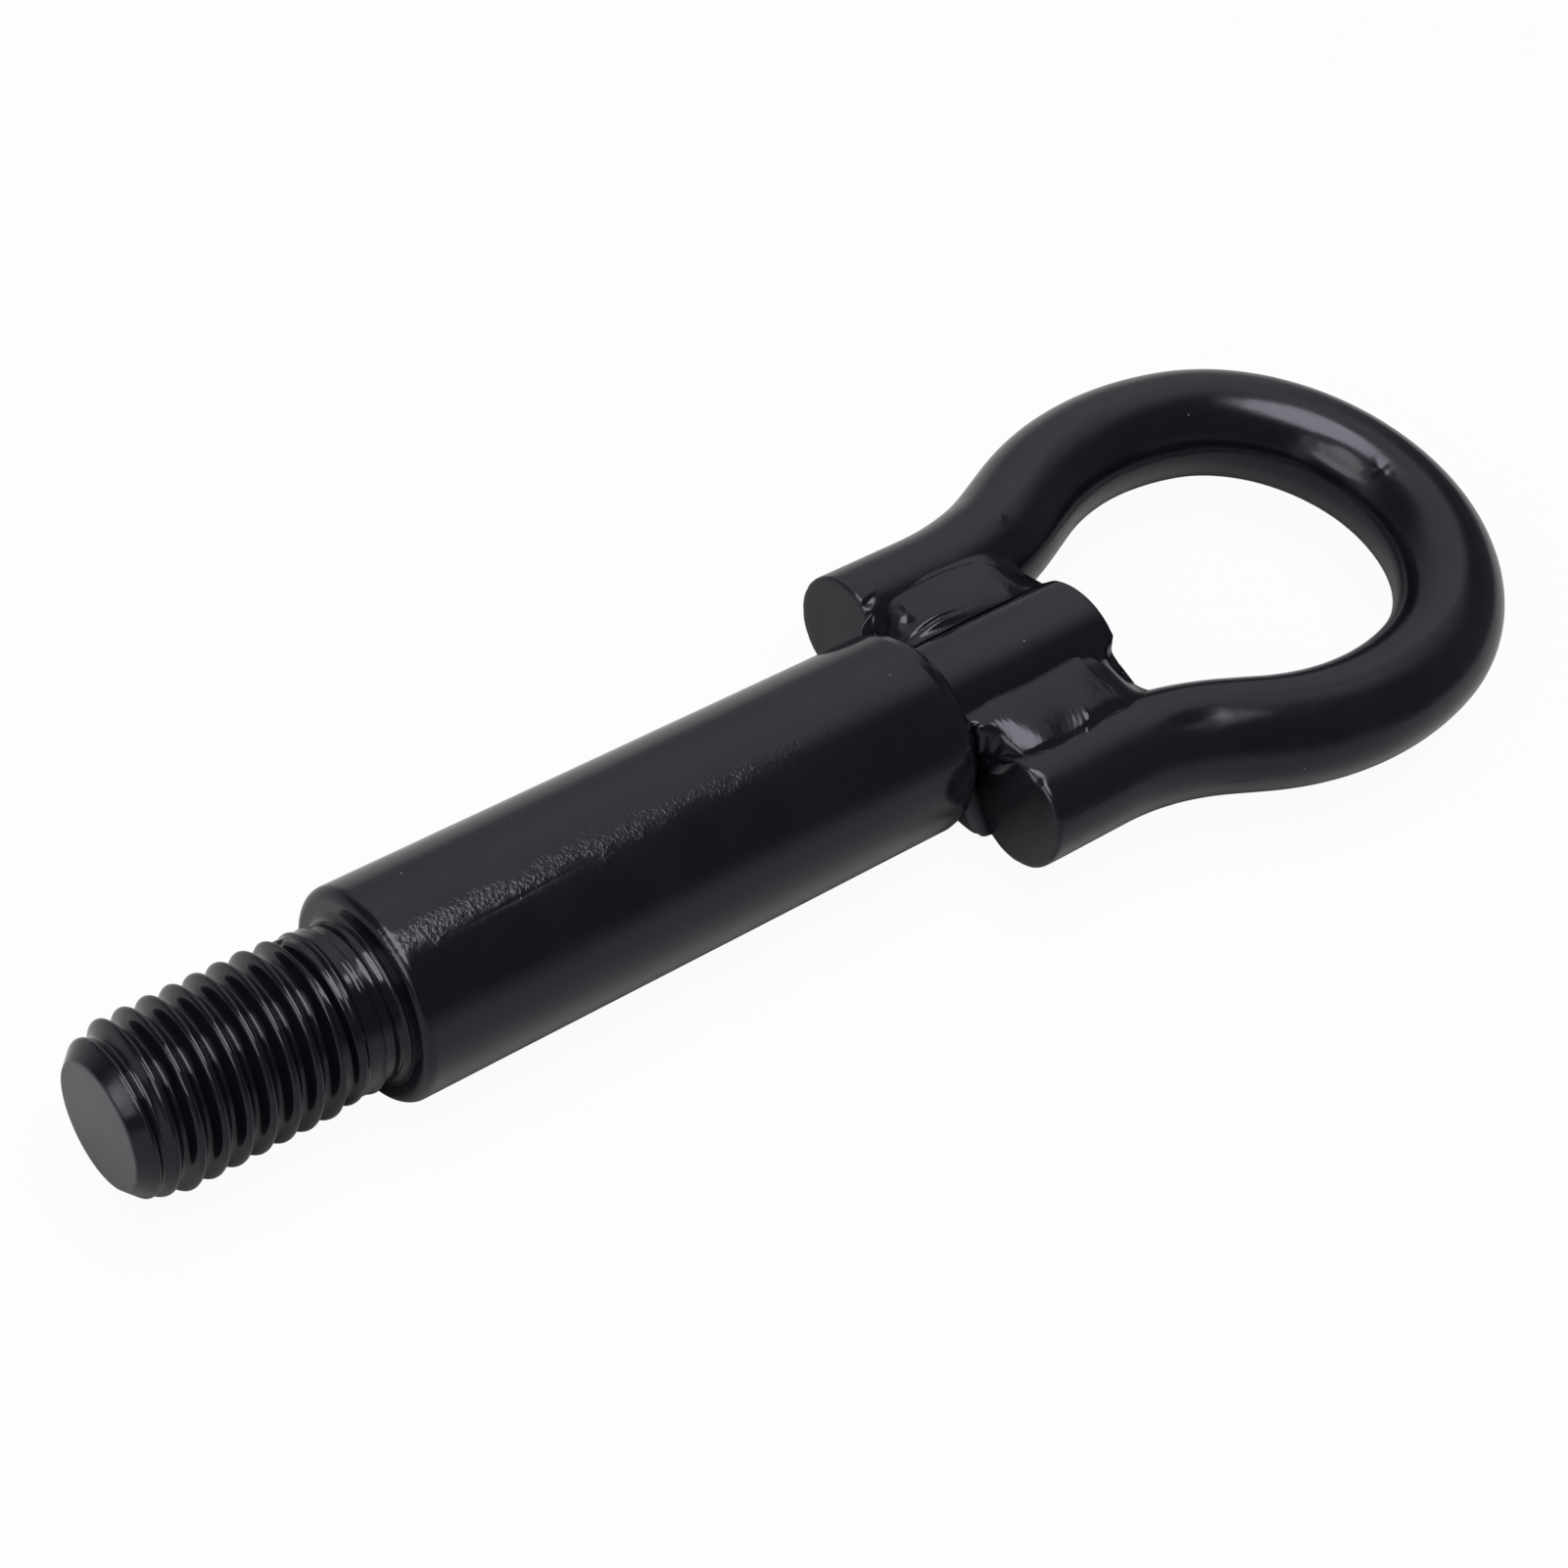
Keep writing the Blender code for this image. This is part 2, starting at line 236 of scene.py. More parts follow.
def lattice_noise(points: np.ndarray, cell: float, seed: int) -> np.ndarray:
    """A smooth random field between -1 and 1, the same on every run.

    Every corner of a cubic lattice has a fixed value, scrambled from its whole-number place.  A
    point takes the mix of its cube's eight corners, weighted by the smooth step of its place in
    the cube.

    Args:
        points: points in millimetres, with the three directions last.
        cell: edge of a lattice cube.
        seed: number that picks the field.

    Returns:
        The field at each point.
    """
    scaled = points / cell + 1000.0
    base = np.floor(scaled).astype(np.int64)
    part = smooth_step(scaled - base)
    total = np.zeros(points.shape[:-1])
    for corner in itertools.product((0, 1), repeat=3):
        place = base + np.array(corner)
        mixed = place[..., 0] * 73856093 ^ place[..., 1] * 19349663 ^ place[..., 2] * 83492791
        mixed = ((mixed + seed * 7919) ^ (mixed >> 11)) * 1274126177 & 0xFFFFFFFF
        mixed = ((mixed ^ (mixed >> 15)) * 668265263) & 0xFFFFFFFF
        value = ((mixed >> 8) & 0xFFFF) / 32767.5 - 1.0
        weight = np.prod(np.where(np.array(corner) == 1, part, 1.0 - part), axis=-1)
        total = total + weight * value
    return total


def line_rows(start: tuple[float, float], end: tuple[float, float], count: int) -> np.ndarray:
    """Evenly spaced (station, radius) rows from a start up to, but without, an end."""
    share = np.linspace(0.0, 1.0, count, endpoint=False)[:, None]
    return np.array(start) * (1.0 - share) + np.array(end) * share


def arc_rows(
    centre: tuple[float, float], radius: float, start: float, end: float, count: int
) -> np.ndarray:
    """Rows of (station, radius) along an arc of a turned profile.

    Args:
        centre: station and radius of the arc's centre.
        radius: radius of the arc.
        start: angle of the first row, in degrees from the direction of the stations.
        end: angle that the last row stops short of.
        count: number of rows.

    Returns:
        The rows: centre plus the radius times the cosine and sine of the angle.
    """
    angle = np.radians(np.linspace(start, end, count, endpoint=False))
    return np.array(centre) + radius * np.stack([np.cos(angle), np.sin(angle)], axis=1)


def grid_mesh(name: str, points: np.ndarray, layers: dict[str, np.ndarray]) -> bpy.types.Mesh:
    """Lay quads over a grid of points.

    Args:
        name: name of the mesh.
        points: grid of points in metres, as rows by columns by three.
        layers: extra values or vectors at the points, by attribute name.

    Returns:
        The mesh, with the layers as its attributes.
    """
    rows, columns = points.shape[:2]
    number = np.arange(rows * columns).reshape(rows, columns)
    corners = (number[:-1, :-1], number[:-1, 1:], number[1:, 1:], number[1:, :-1])
    quads = np.stack([part.ravel() for part in corners], axis=1)
    mesh = bpy.data.meshes.new(name)
    mesh.from_pydata(points.reshape(-1, 3).tolist(), [], quads.tolist())
    for layer, values in layers.items():
        if np.ndim(values) == 3:
            attribute = mesh.attributes.new(layer, "FLOAT_VECTOR", "POINT")
            attribute.data.foreach_set("vector", values.ravel())
        else:
            attribute = mesh.attributes.new(layer, "FLOAT", "POINT")
            attribute.data.foreach_set("value", np.broadcast_to(values, (rows, columns)).ravel())
    return mesh


def link_object(name: str, data: bpy.types.ID) -> bpy.types.Object:
    """Make an object of some data, and link it to the scene.

    Args:
        name: name of the object.
        data: its mesh, light or camera.

    Returns:
        The object.
    """
    made = bpy.data.objects.new(name, data)
    bpy.context.scene.collection.objects.link(made)
    return made


def surface(name: str, points: np.ndarray, layers: dict[str, np.ndarray]) -> bpy.types.Object:
    """Turn a grid of points into a closed, smooth-shaded mesh object at the origin.

    The last column repeats the first one's places, possibly some rows further on, as a helix
    does.  Points that fall together are merged, which closes the seam and the poles.

    Args:
        name: name of the object.
        points: grid of points in metres, as rows by columns by three.
        layers: extra values or vectors at the points, by attribute name.

    Returns:
        The object, linked to the scene.
    """
    mesh = grid_mesh(name, points, layers)
    work = bmesh.new()
    work.from_mesh(mesh)
    bmesh.ops.remove_doubles(work, verts=work.verts, dist=MERGE_DISTANCE)
    bmesh.ops.recalc_face_normals(work, faces=work.faces)
    if work.calc_volume(signed=True) < 0.0:
        bmesh.ops.reverse_faces(work, faces=work.faces)
    work.to_mesh(mesh)
    work.free()
    mesh.shade_smooth()
    return link_object(name, mesh)


def dress(
    piece: bpy.types.Object, finish: "PaintFinish", node: str
) -> bpy.types.Object:
    """Paint a piece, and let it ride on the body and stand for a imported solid.

    Args:
        piece: the new piece.
        finish: its paint.
        node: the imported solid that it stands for.

    Returns:
        The same piece.
    """
    piece.data.materials.append(finish.material())
    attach(piece, "root")
    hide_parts(node)
    faces = sum(len(polygon.vertices) - 2 for polygon in piece.data.polygons)
    log.info("%s stands for %s with %d triangles", piece.name, node, faces)
    return piece


class NodeBench:
    """Adds nodes to one material and joins them."""

    def __init__(self, tree: bpy.types.NodeTree) -> None:
        """Start on an emptied node tree."""
        self.tree = tree
        tree.nodes.clear()

    def feed(self, target: Socket, value: object) -> None:
        """Give an input a link where the value is an output, and else a fixed value.

        Args:
            target: the input.
            value: an output of another node, a number or a colour.
        """
        if isinstance(value, Socket):
            self.tree.links.new(value, target)
        else:
            target.default_value = value

    def add(self, kind: str, **settings: object) -> bpy.types.Node:
        """Add a node; settings name its properties, or its inputs by label with spaces as _.

        Args:
            kind: the node's type.
            settings: values of its properties and inputs.

        Returns:
            The node.
        """
        node = self.tree.nodes.new(kind)
        for key, value in settings.items():
            if hasattr(node, key):
                setattr(node, key, value)
            else:
                label = key.replace("_", " ")
                self.feed(next(entry for entry in node.inputs if entry.name == label), value)
        return node

    def attribute(self, name: str, output: str = "Fac") -> Socket:
        """Read one of the mesh's own attributes."""
        return self.add("ShaderNodeAttribute", attribute_name=name).outputs[output]

    def maths(self, kind: str, *values: object) -> Socket:
        """Add a Math node on numbers and sockets, and return its output.

        Args:
            kind: the operation.
            values: its operands.

        Returns:
            The result.
        """
        node = self.add("ShaderNodeMath", operation=kind)
        for entry, value in zip(node.inputs, values):
            self.feed(entry, value)
        return node.outputs[0]

    def ramp(
        self, source: object, low: float, high: float, first: float = 0.0, last: float = 1.0
    ) -> Socket:
        """Map a value smoothly from low..high to first..last, and return the output.

        Args:
            source: the value.
            low: value that gives first.
            high: value that gives last.
            first: result at the low end.
            last: result at the high end.

        Returns:
            The result.
        """
        node = self.add(
            "ShaderNodeMapRange",
            interpolation_type="SMOOTHSTEP",
            Value=source,
            From_Min=low,
            From_Max=high,
            To_Min=first,
            To_Max=last,
        )
        return node.outputs["Result"]

    def noise(
        self, where: Socket, cell: float, detail: float = 3.0
    ) -> Socket:
        """Add a noise whose blotches are about a cell of millimetres across.

        Args:
            where: coordinates in metres that the pattern lies on.
            cell: size of a blotch.
            detail: how many finer layers it has.

        Returns:
            The noise, from 0 to 1.
        """
        node = self.add(
            "ShaderNodeTexNoise", Vector=where, Scale=1.0 / MM / cell, Detail=detail, Roughness=0.55
        )
        return node.outputs["Fac"]

    def colour_mix(
        self, share: Socket, first: object, second: object
    ) -> Socket:
        """Mix two colours, given as sockets or as tuples, by a share.

        Args:
            share: share of the second.
            first: one colour.
            second: the other colour.

        Returns:
            The mixed colour.
        """
        node = self.add("ShaderNodeMix", data_type="RGBA")
        self.feed(node.inputs[0], share)
        for entry, value in ((node.inputs[6], first), (node.inputs[7], second)):
            self.feed(entry, (*value, 1.0) if isinstance(value, tuple) else value)
        return node.outputs[2]

    def shader_mix(
        self, share: Socket, first: bpy.types.Node, second: bpy.types.Node
    ) -> bpy.types.Node:
        """Mix two shaders by a share, and return the mixing node.

        Args:
            share: share of the second.
            first: one shader.
            second: the other shader.

        Returns:
            The mixing node.
        """
        node = self.add("ShaderNodeMixShader")
        for entry, value in zip(node.inputs, (share, first.outputs[0], second.outputs[0])):
            self.feed(entry, value)
        return node

    def output(self, shader: bpy.types.Node, kind: str = "ShaderNodeOutputMaterial") -> None:
        """Send a shader to the surface of the material, or of the world."""
        self.add(kind, Surface=shader.outputs[0])


def new_material(name: str) -> tuple[bpy.types.Material, NodeBench]:
    """Make an empty node material, and the bench that fills it.

    Args:
        name: name of the material.

    Returns:
        The material and the bench.
    """
    material = bpy.data.materials.new(name)
    material.use_nodes = True
    return material, NodeBench(material.node_tree)


@dataclass(frozen=True)
class PaintFinish:
    """Black paint over steel, with its own sheen, peel, dust and rust.

    Args:
        name: name of the material.
        colour: the paint's own colour.
        bloom: colour of the slightly milky blotches in it.
        roughness: roughness of the clean paint.
        uneven: how much the roughness wanders.
        peel: cell of the fine orange peel.
        peel_depth: depth of the fine orange peel.
        wave_depth: depth of the longer waves in the paint.
        specks: share of the dust cells that hold a speck.
        rust: strength of the rust dots where the piece has a rust layer.
        dull: colour of the dull patches where the piece has a dull layer; on the stud's point face
            and the under beads' fronts that layer also paints light.
        flow_depth: depth of fine lines along the bar, where the piece has a flow layer.
        blister_depth: depth of the peeling where the piece has a peel layer.
        tint: colour of the mirrored light, for the cold cast of the paint.
        ior: refractive index of the paint, which sets its gloss.
        blotch_cell: size of the milky blotches.
        blotch_range: values of their noise between which they set in.
        wander_cells: sizes of the broad and the fine change of roughness.
        dull_rough: how much rougher dull paint is.
        speck_cell: distance between places for dust.
        speck_size: where a speck's edge begins and ends, as shares of that distance.
        speck_depth: height of a speck.
        speck_rough: how much rougher a speck is.
        rust_cell: size of the rust dots.
        rust_range: values of their noise between which they set in.
        wave_cell: length of the longer waves in the paint.
        flow_cell: distance between the fine lines along the bar.
        blister_cell: size of the grains where the paint peels.
        blister_range: values of their noise between which they rise.
    """

    name: str
    colour: tuple[float, float, float]
    bloom: tuple[float, float, float]
    roughness: float
    uneven: float
    peel: float
    peel_depth: float
    wave_depth: float
    specks: float
    rust: float = 0.0
    dull: tuple[float, float, float] = (0.030, 0.029, 0.033)
    flow_depth: float = 0.0
    blister_depth: float = 0.0
    tint: tuple[float, float, float] = (0.88, 0.88, 1.0)
    ior: float = 1.41
    blotch_cell: float = 7.0
    blotch_range: tuple[float, float] = (0.38, 0.72)
    wander_cells: tuple[float, float] = (9.0, 0.8)
    dull_rough: float = 0.22
    speck_cell: float = 2.6
    speck_size: tuple[float, float] = (0.030, 0.055)
    speck_depth: float = 0.03
    speck_rough: float = 0.3
    rust_cell: float = 0.55
    rust_range: tuple[float, float] = (0.60, 0.68)
    wave_cell: float = 4.5
    flow_cell: float = 0.5
    blister_cell: float = 0.42
    blister_range: tuple[float, float] = (0.34, 0.68)

    def material(self) -> bpy.types.Material:
        """Build the material, or return it if it is there already.

        Returns:
            The material: a dark base, blotches and specks in its colour, noise in its
            roughness, and three sizes of waves in its bump.
        """
        known = bpy.data.materials.get(self.name)
        if known is not None:
            return known
        material, bench = new_material(self.name)
        where = bench.add("ShaderNodeTexCoord").outputs["Object"]
        dull = bench.attribute("dull")
        speck = self.speck_mask(bench, where)
        blotch = bench.ramp(bench.noise(where, self.blotch_cell), *self.blotch_range)
        colour = bench.colour_mix(blotch, self.colour, self.bloom)
        colour = bench.colour_mix(dull, colour, self.dull)
        colour = bench.colour_mix(speck, colour, DUST_COLOUR)
        if self.rust > 0.0:
            colour = bench.colour_mix(self.rust_mask(bench, where), colour, RUST_COLOUR)
        shader = bench.add(
            "ShaderNodeBsdfPrincipled",
            Metallic=0.0,
            IOR=self.ior,
            Specular_Tint=(*self.tint, 1.0),
            Base_Color=colour,
            Roughness=self.rough_value(bench, where, dull, speck),
            Normal=self.relief(bench, where, speck),
        )
        bench.output(shader)
        return material

    def speck_mask(self, bench: NodeBench, where: Socket) -> Socket:
        """Small dots of dust: the middles of a few cells of a cell pattern.

        Args:
            bench: the material's bench.
            where: coordinates in metres that the pattern lies on.

        Returns:
            1 on a speck and 0 elsewhere.
        """
        cells = bench.add("ShaderNodeTexVoronoi", Vector=where, Scale=1.0 / MM / self.speck_cell)
        near = bench.ramp(cells.outputs["Distance"], *self.speck_size, 1.0, 0.0)
        pick = bench.add("ShaderNodeSeparateColor", Color=cells.outputs["Color"])
        chosen = bench.maths("LESS_THAN", pick.outputs[0], self.specks)
        return bench.maths("MULTIPLY", near, chosen)

    def rust_mask(self, bench: NodeBench, where: Socket) -> Socket:
        """Rust dots: the peaks of a fine noise, where the piece's rust layer allows them.

        Args:
            bench: the material's bench.
            where: coordinates in metres that the pattern lies on.

        Returns:
            The strength of the rust.
        """
        allowed = bench.attribute("rust")
        peaks = bench.ramp(bench.noise(where, self.rust_cell, 2.0), *self.rust_range)
        return bench.maths("MULTIPLY", bench.maths("MULTIPLY", peaks, allowed), self.rust)

    def rough_value(
        self,
        bench: NodeBench,
        where: Socket,
        dull: Socket,
        speck: Socket,
    ) -> Socket:
        """Roughness: the clean paint's, wandering with two noises, higher where dull or dusty.

        Args:
            bench: the material's bench.
            where: coordinates in metres that the pattern lies on.
            dull: how dull the paint is.
            speck: 1 on a speck of dust.

        Returns:
            The roughness.
        """
        large, small = self.wander_cells
        much, little = self.uneven, self.uneven / 2
        broad = bench.ramp(bench.noise(where, large), 0.3, 0.7, -much, much)
        fine = bench.ramp(bench.noise(where, small, 4.0), 0.3, 0.7, -little, little)
        value = bench.maths("ADD", bench.maths("ADD", broad, fine), self.roughness)
        value = bench.maths("ADD", value, bench.maths("MULTIPLY", dull, self.dull_rough))
        return bench.maths("ADD", value, bench.maths("MULTIPLY", speck, self.speck_rough))

    def relief(
        self, bench: NodeBench, where: Socket, speck: Socket
    ) -> Socket:
        """Bump: long waves, orange peel, lines, blisters and specks, each of a real depth.

        Args:
            bench: the material's bench.
            where: coordinates in metres that the pattern lies on.
            speck: 1 on a speck of dust.

        Returns:
            The normal.
        """
        layers = [
            (bench.noise(where, self.wave_cell, 2.0), self.wave_depth),
            (bench.noise(where, self.peel, 2.0), self.peel_depth),
            (speck, self.speck_depth),
        ]
        if self.flow_depth > 0.0:
            flow = bench.attribute("flow", "Vector")
            layers.append((bench.noise(flow, self.flow_cell, 3.0), self.flow_depth))
        if self.blister_depth > 0.0:
            grains = bench.ramp(bench.noise(where, self.blister_cell, 2.0), *self.blister_range)
            peeling = bench.maths("MULTIPLY", grains, bench.attribute("peel"))
            layers.append((peeling, self.blister_depth))
        below = {}
        for height, depth in layers:
            bump = bench.add(
                "ShaderNodeBump", Strength=1.0, Distance=depth * MM, Height=height, **below
            )
            below = {"Normal": bump.outputs[0]}
        return below["Normal"]


@dataclass
class Stud:
    """The threaded stud with its chamfered point, run-out, turned neck and groove.

    Args:
        length: length from the point face to the shoulder.
        point_radius: radius of the point face, at the foot of its chamfer.
        point_edge: rounding of the point's rim.
        chamfer_length: length of the point's chamfer.
        root_radius: radius of the thread's root.
        major_radius: radius of the thread's crest.
        pitch: distance from crest to crest.
        crest_width: width of the flat of a crest.
        root_width: width of the flat of a root.
        crest_rounding: half-height of the rounding at a crest.
        root_rounding: half-height of the rounding at a root.
        first_crest: distance of the first crest line from the point.
        lead_in: length over which the crest rises from the chamfer.
        first_cut: distance from the point where the groove sets in, and over what length.
        run_out: length over which the thread fades into the neck.
        thin_flank: width of a flank where the crest has become a low ridge.
        thin_start: how much earlier than the run-out the crest grows thin, as a share of it.
        crest_thinning: share of the crest's width that is lost there.
        root_rise: shares of the run-out between which the root comes up.
        neck_length: length from the end of the run-out to the groove.
        neck_ridge: radius that the crest fades to.
        neck_root: radius that the root rises to.
        point_rounding: rounding where the thread meets the chamfer's cone.
        rings_length: length of the neck that is meshed in rings.
        groove_length: length of the groove before the shoulder.
        groove_side: length of the groove's sloping side.
        groove_radius: radius of the groove.
        groove_fillet: fillet between the groove and the shoulder.
        groove_marks: fine ridges in the groove, as station, width and height.
        columns: columns of the mesh round the stud.
        rows_per_pitch: rows of the mesh along one pitch.
        turned_rings: stations of fine grooves on the neck.
        ring_depth: depth of those grooves.
        ring_width: their half-width.
        coats: waves of the paint, as (height, cell, seed).
        face_dull_and_top_light: dullness of the point face at mid height, and how much it rises per
            millimetre upwards, a painted lightening of the face towards its top where the light
            falls.
        rubbed_angles: start, rise, end and fall of the rubbed patch on the chamfer.
        rubbed_dull: how dull that patch is.
        blemishes: nicks and paint drops, at stations and angles.
    """

    length: float = 28.1
    point_radius: float = 6.4
    point_edge: float = 0.12
    chamfer_length: float = 1.55
    root_radius: float = 7.5
    major_radius: float = 8.85
    pitch: float = 2.5
    crest_width: float = 0.50
    root_width: float = 0.55
    crest_rounding: float = 0.22
    root_rounding: float = 0.24
    first_crest: float = 1.78
    lead_in: float = 3.0
    first_cut: tuple[float, float] = (1.25, 1.25)
    run_out: float = 2.2
    thin_flank: float = 0.34
    thin_start: float = 0.45
    crest_thinning: float = 0.55
    root_rise: tuple[float, float] = (0.66, 0.98)
    neck_length: float = 2.55
    neck_ridge: float = 8.54
    neck_root: float = 8.3
    point_rounding: float = 0.22
    rings_length: float = 2.35
    groove_length: float = 2.75
    groove_side: float = 0.25
    groove_radius: float = 8.03
    groove_fillet: float = 0.9
    groove_marks: tuple[tuple[float, float, float], ...] = (
        (-1.55, 0.20, 0.03),
        (-0.72, 0.12, 0.04),
    )
    columns: int = 288
    rows_per_pitch: int = 24
    turned_rings: tuple[float, ...] = (-4.70, -4.38, -3.30)
    ring_depth: float = 0.030
    ring_width: float = 0.07
    coats: tuple[tuple[float, float, int], ...] = ((0.014, 2.3, 3), (0.006, 0.8, 5))
    # The second value is painted light: the point face is painted lighter towards its top.
    face_dull_and_top_light: tuple[float, float] = (0.84, 0.034)
    rubbed_angles: tuple[float, float, float, float] = (94.0, 5.0, 127.0, 6.0)
    rubbed_dull: float = 0.70
    blemishes: tuple[Bump, ...] = field(
        default=(
            Bump(-24.6, 108.0, 0.5, 5.0, 0.07),
            Bump(-25.0, 91.0, 0.4, 4.0, 0.05),
            Bump(-22.2, 120.0, 0.45, 7.0, -0.09),
            Bump(-21.9, 94.0, 0.35, 3.0, 0.06),
            Bump(-21.5, 103.0, 0.3, 2.5, -0.08),
            Bump(-21.2, 140.0, 0.4, 3.0, 0.07),
            Bump(-5.4, 45.0, 0.30, 3.2, -0.30),
            Bump(-4.9, 46.0, 0.14, 3.0, 0.10),
            Bump(-19.3, 150.0, 0.3, 2.5, -0.06),
            Bump(-16.4, 118.0, 0.3, 3.0, 0.05),
        )
    )

    @property
    def point(self) -> float:
        """Station of the point face."""
        return -self.length

    def run_out_share(self, station: np.ndarray) -> np.ndarray:
        """How far the run-out has come: 0 on the full thread and 1 on the neck."""
        end = -self.groove_length - self.neck_length
        return (station - end + self.run_out) / self.run_out

    def radius(self, station: np.ndarray, turn: np.ndarray) -> np.ndarray:
        """Radius of the thread and neck.

        The flank is a straight line in the distance to the nearest crest line, which moves back
        by one pitch a turn.  Soft minima round it at the crest and the root, and a soft minimum
        with the chamfer's cone trims it at the point.  The crest rises over the lead-in.  Over
        the run-out it thins to a low ridge, and the root comes up to meet it.

        Args:
            station: stations of the points.
            turn: their angle as a share of a full turn.

        Returns:
            The radius at each point.
        """
        phase = (station - self.point - self.first_crest) / self.pitch + turn
        from_crest = np.abs(phase - np.round(phase)) * self.pitch
        share = self.run_out_share(station)
        thin = smooth_step(share + self.thin_start)
        flank = self.pitch / 2 - self.root_width / 2 - self.crest_width / 2
        flank = flank + (self.thin_flank - flank) * thin
        crest_half = self.crest_width / 2 * (1.0 - self.crest_thinning * thin)
        depth = self.major_radius - self.root_radius
        height = depth * (crest_half + flank - from_crest) / flank
        height = -soft_least(-height, np.zeros_like(height), self.root_rounding * 2)
        height = soft_least(height, np.full_like(height, depth), self.crest_rounding * 2) / depth
        lead = smooth_step((station - self.point - self.chamfer_length) / self.lead_in)
        chamfer_top = self.point_radius + self.chamfer_length
        crest = chamfer_top + (self.major_radius - chamfer_top) * lead
        crest = crest + (self.neck_ridge - crest) * smooth_step(share)
        rise = smooth_step((share - self.root_rise[0]) / (self.root_rise[1] - self.root_rise[0]))
        root = self.root_radius + (self.neck_root - self.root_radius) * rise
        cut = smooth_step((station - self.point - self.first_cut[0]) / self.first_cut[1])
        root = crest - (crest - root) * cut
        cone = self.point_radius + (station - self.point)
        thread = root + (crest - root) * height
        return soft_least(thread, cone, self.point_rounding) + self.ring_cuts(station)

    def ring_cuts(self, station: np.ndarray) -> np.ndarray:
        """Fine grooves that the turning tool left round the neck, as changes of radius.

        Args:
            station: stations of the points.

        Returns:
            The changes: minus the depth times a bell curve at each groove.
        """
        cuts = np.zeros_like(station)
        for place in self.turned_rings:
            cuts = cuts - self.ring_depth * np.exp(-(((station - place) / self.ring_width) ** 2))
        return cuts

    def points(self, frame: SolidFrame) -> tuple[np.ndarray, np.ndarray]:
        """Grid of the stud: rows along helical lines on the thread, and rings elsewhere.

        Args:
            frame: where the solids stand.

        Returns:
            The points, and how dull the paint is at each of them.
        """
        turn = np.arange(self.columns + 1) / self.columns
        edge = self.point_edge
        face = line_rows((self.point, 0.0), (self.point, self.point_radius - edge), 14)
        rim_centre = (self.point + edge, self.point_radius - edge)
        rim = arc_rows(rim_centre, edge, 180.0, 135.0, 4)
        start = self.point + self.root_radius - self.point_radius - 0.2
        cone = line_rows((self.point + edge * 0.4, self.point_radius), (start, 0.0), 8)
        neck = -self.groove_length - self.rings_length
        count = math.ceil((neck - start) / self.pitch * self.rows_per_pitch) + self.rows_per_pitch
        lines = start + np.arange(count + 1) * self.pitch / self.rows_per_pitch
        helix = np.clip(lines[:, None] - turn[None, :] * self.pitch, start, neck)
        rings = np.linspace(neck, -self.groove_length, 42)[1:, None]
        level = turn * 0.0
        turned = np.concatenate([cone[:, :1] + level, helix, rings + level])
        turned_radius = self.radius(turned, turn[None, :] + turned * 0.0)
        front, tail = np.concatenate([face, rim]), self.tail_rows()
        station = np.concatenate([front[:, :1] + level, turned, tail[:, :1] + level])
        radius = np.concatenate([front[:, 1:] + level, turned_radius, tail[:, 1:] + level])
        angle = TAU * (np.arange(self.columns + 1) % self.columns) / self.columns
        degrees = np.degrees(angle)[None, :] + station * 0.0
        across = radius * np.cos(angle)
        up = radius * np.sin(angle)
        on_thread = smooth_step((radius - 6.6) / 0.6) * smooth_step(-station / 0.5)
        rough = np.stack([station, across, up], axis=-1)
        relief = total_rise(self.blemishes, station, degrees)
        for high, cell, seed in self.coats:
            relief = relief + high * lattice_noise(rough, cell, seed)
        relief = relief * on_thread
        scale = np.where(radius > 0.0, (radius + relief) / np.maximum(radius, 1e-9), 0.0)
        # Dull point face, painted lighter towards its top as painted light from above.
        middle, painted_top_light = self.face_dull_and_top_light
        dull = smooth_step((self.point + 0.08 - station) / 0.06) * (middle + painted_top_light * up)
        rubbed = window(degrees, *self.rubbed_angles)
        rubbed = rubbed * window(station, self.point + 0.05, 0.3, self.point + 1.35, 0.4)
        dull = dull + self.rubbed_dull * rubbed * (1.0 + 0.3 * lattice_noise(rough, 0.6, 6))
        return frame.place(station, across * scale, up * scale), dull

    def tail_rows(self) -> np.ndarray:
        """Rows from the groove to a plug that is hidden inside the body.

        Returns:
            The rows, as stations and radii.
        """
        side = line_rows(
            (-self.groove_length + 0.06, self.neck_root + 0.05),
            (-self.groove_length + self.groove_side, self.groove_radius),
            5,
        )
        floor = line_rows(
            (-self.groove_length + self.groove_side, self.groove_radius),
            (-self.groove_fillet, self.groove_radius),
            22,
        )
        centre = (-self.groove_fillet, self.groove_radius + self.groove_fillet)
        fillet = arc_rows(centre, self.groove_fillet, -90.0, 0.0, 14)
        outer = self.groove_radius + self.groove_fillet
        plug = np.array([(0.0, outer), (0.6, outer - 0.1), (0.6, 4.0), (0.6, 0.0)])
        turned = np.concatenate([floor, fillet])
        for place, width, depth in self.groove_marks:
            turned[:, 1] += depth * np.exp(-(((turned[:, 0] - place) / width) ** 2))
        return np.concatenate([side, turned, plug])

    def build(self, frame: SolidFrame, finish: PaintFinish) -> bpy.types.Object:
        """Build and dress the stud.

        Args:
            frame: where the solids stand.
            finish: its paint.

        Returns:
            The piece.
        """
        points, dull = self.points(frame)
        piece = surface("threaded_stud", points, {"dull": dull})
        return dress(piece, finish, "shank")


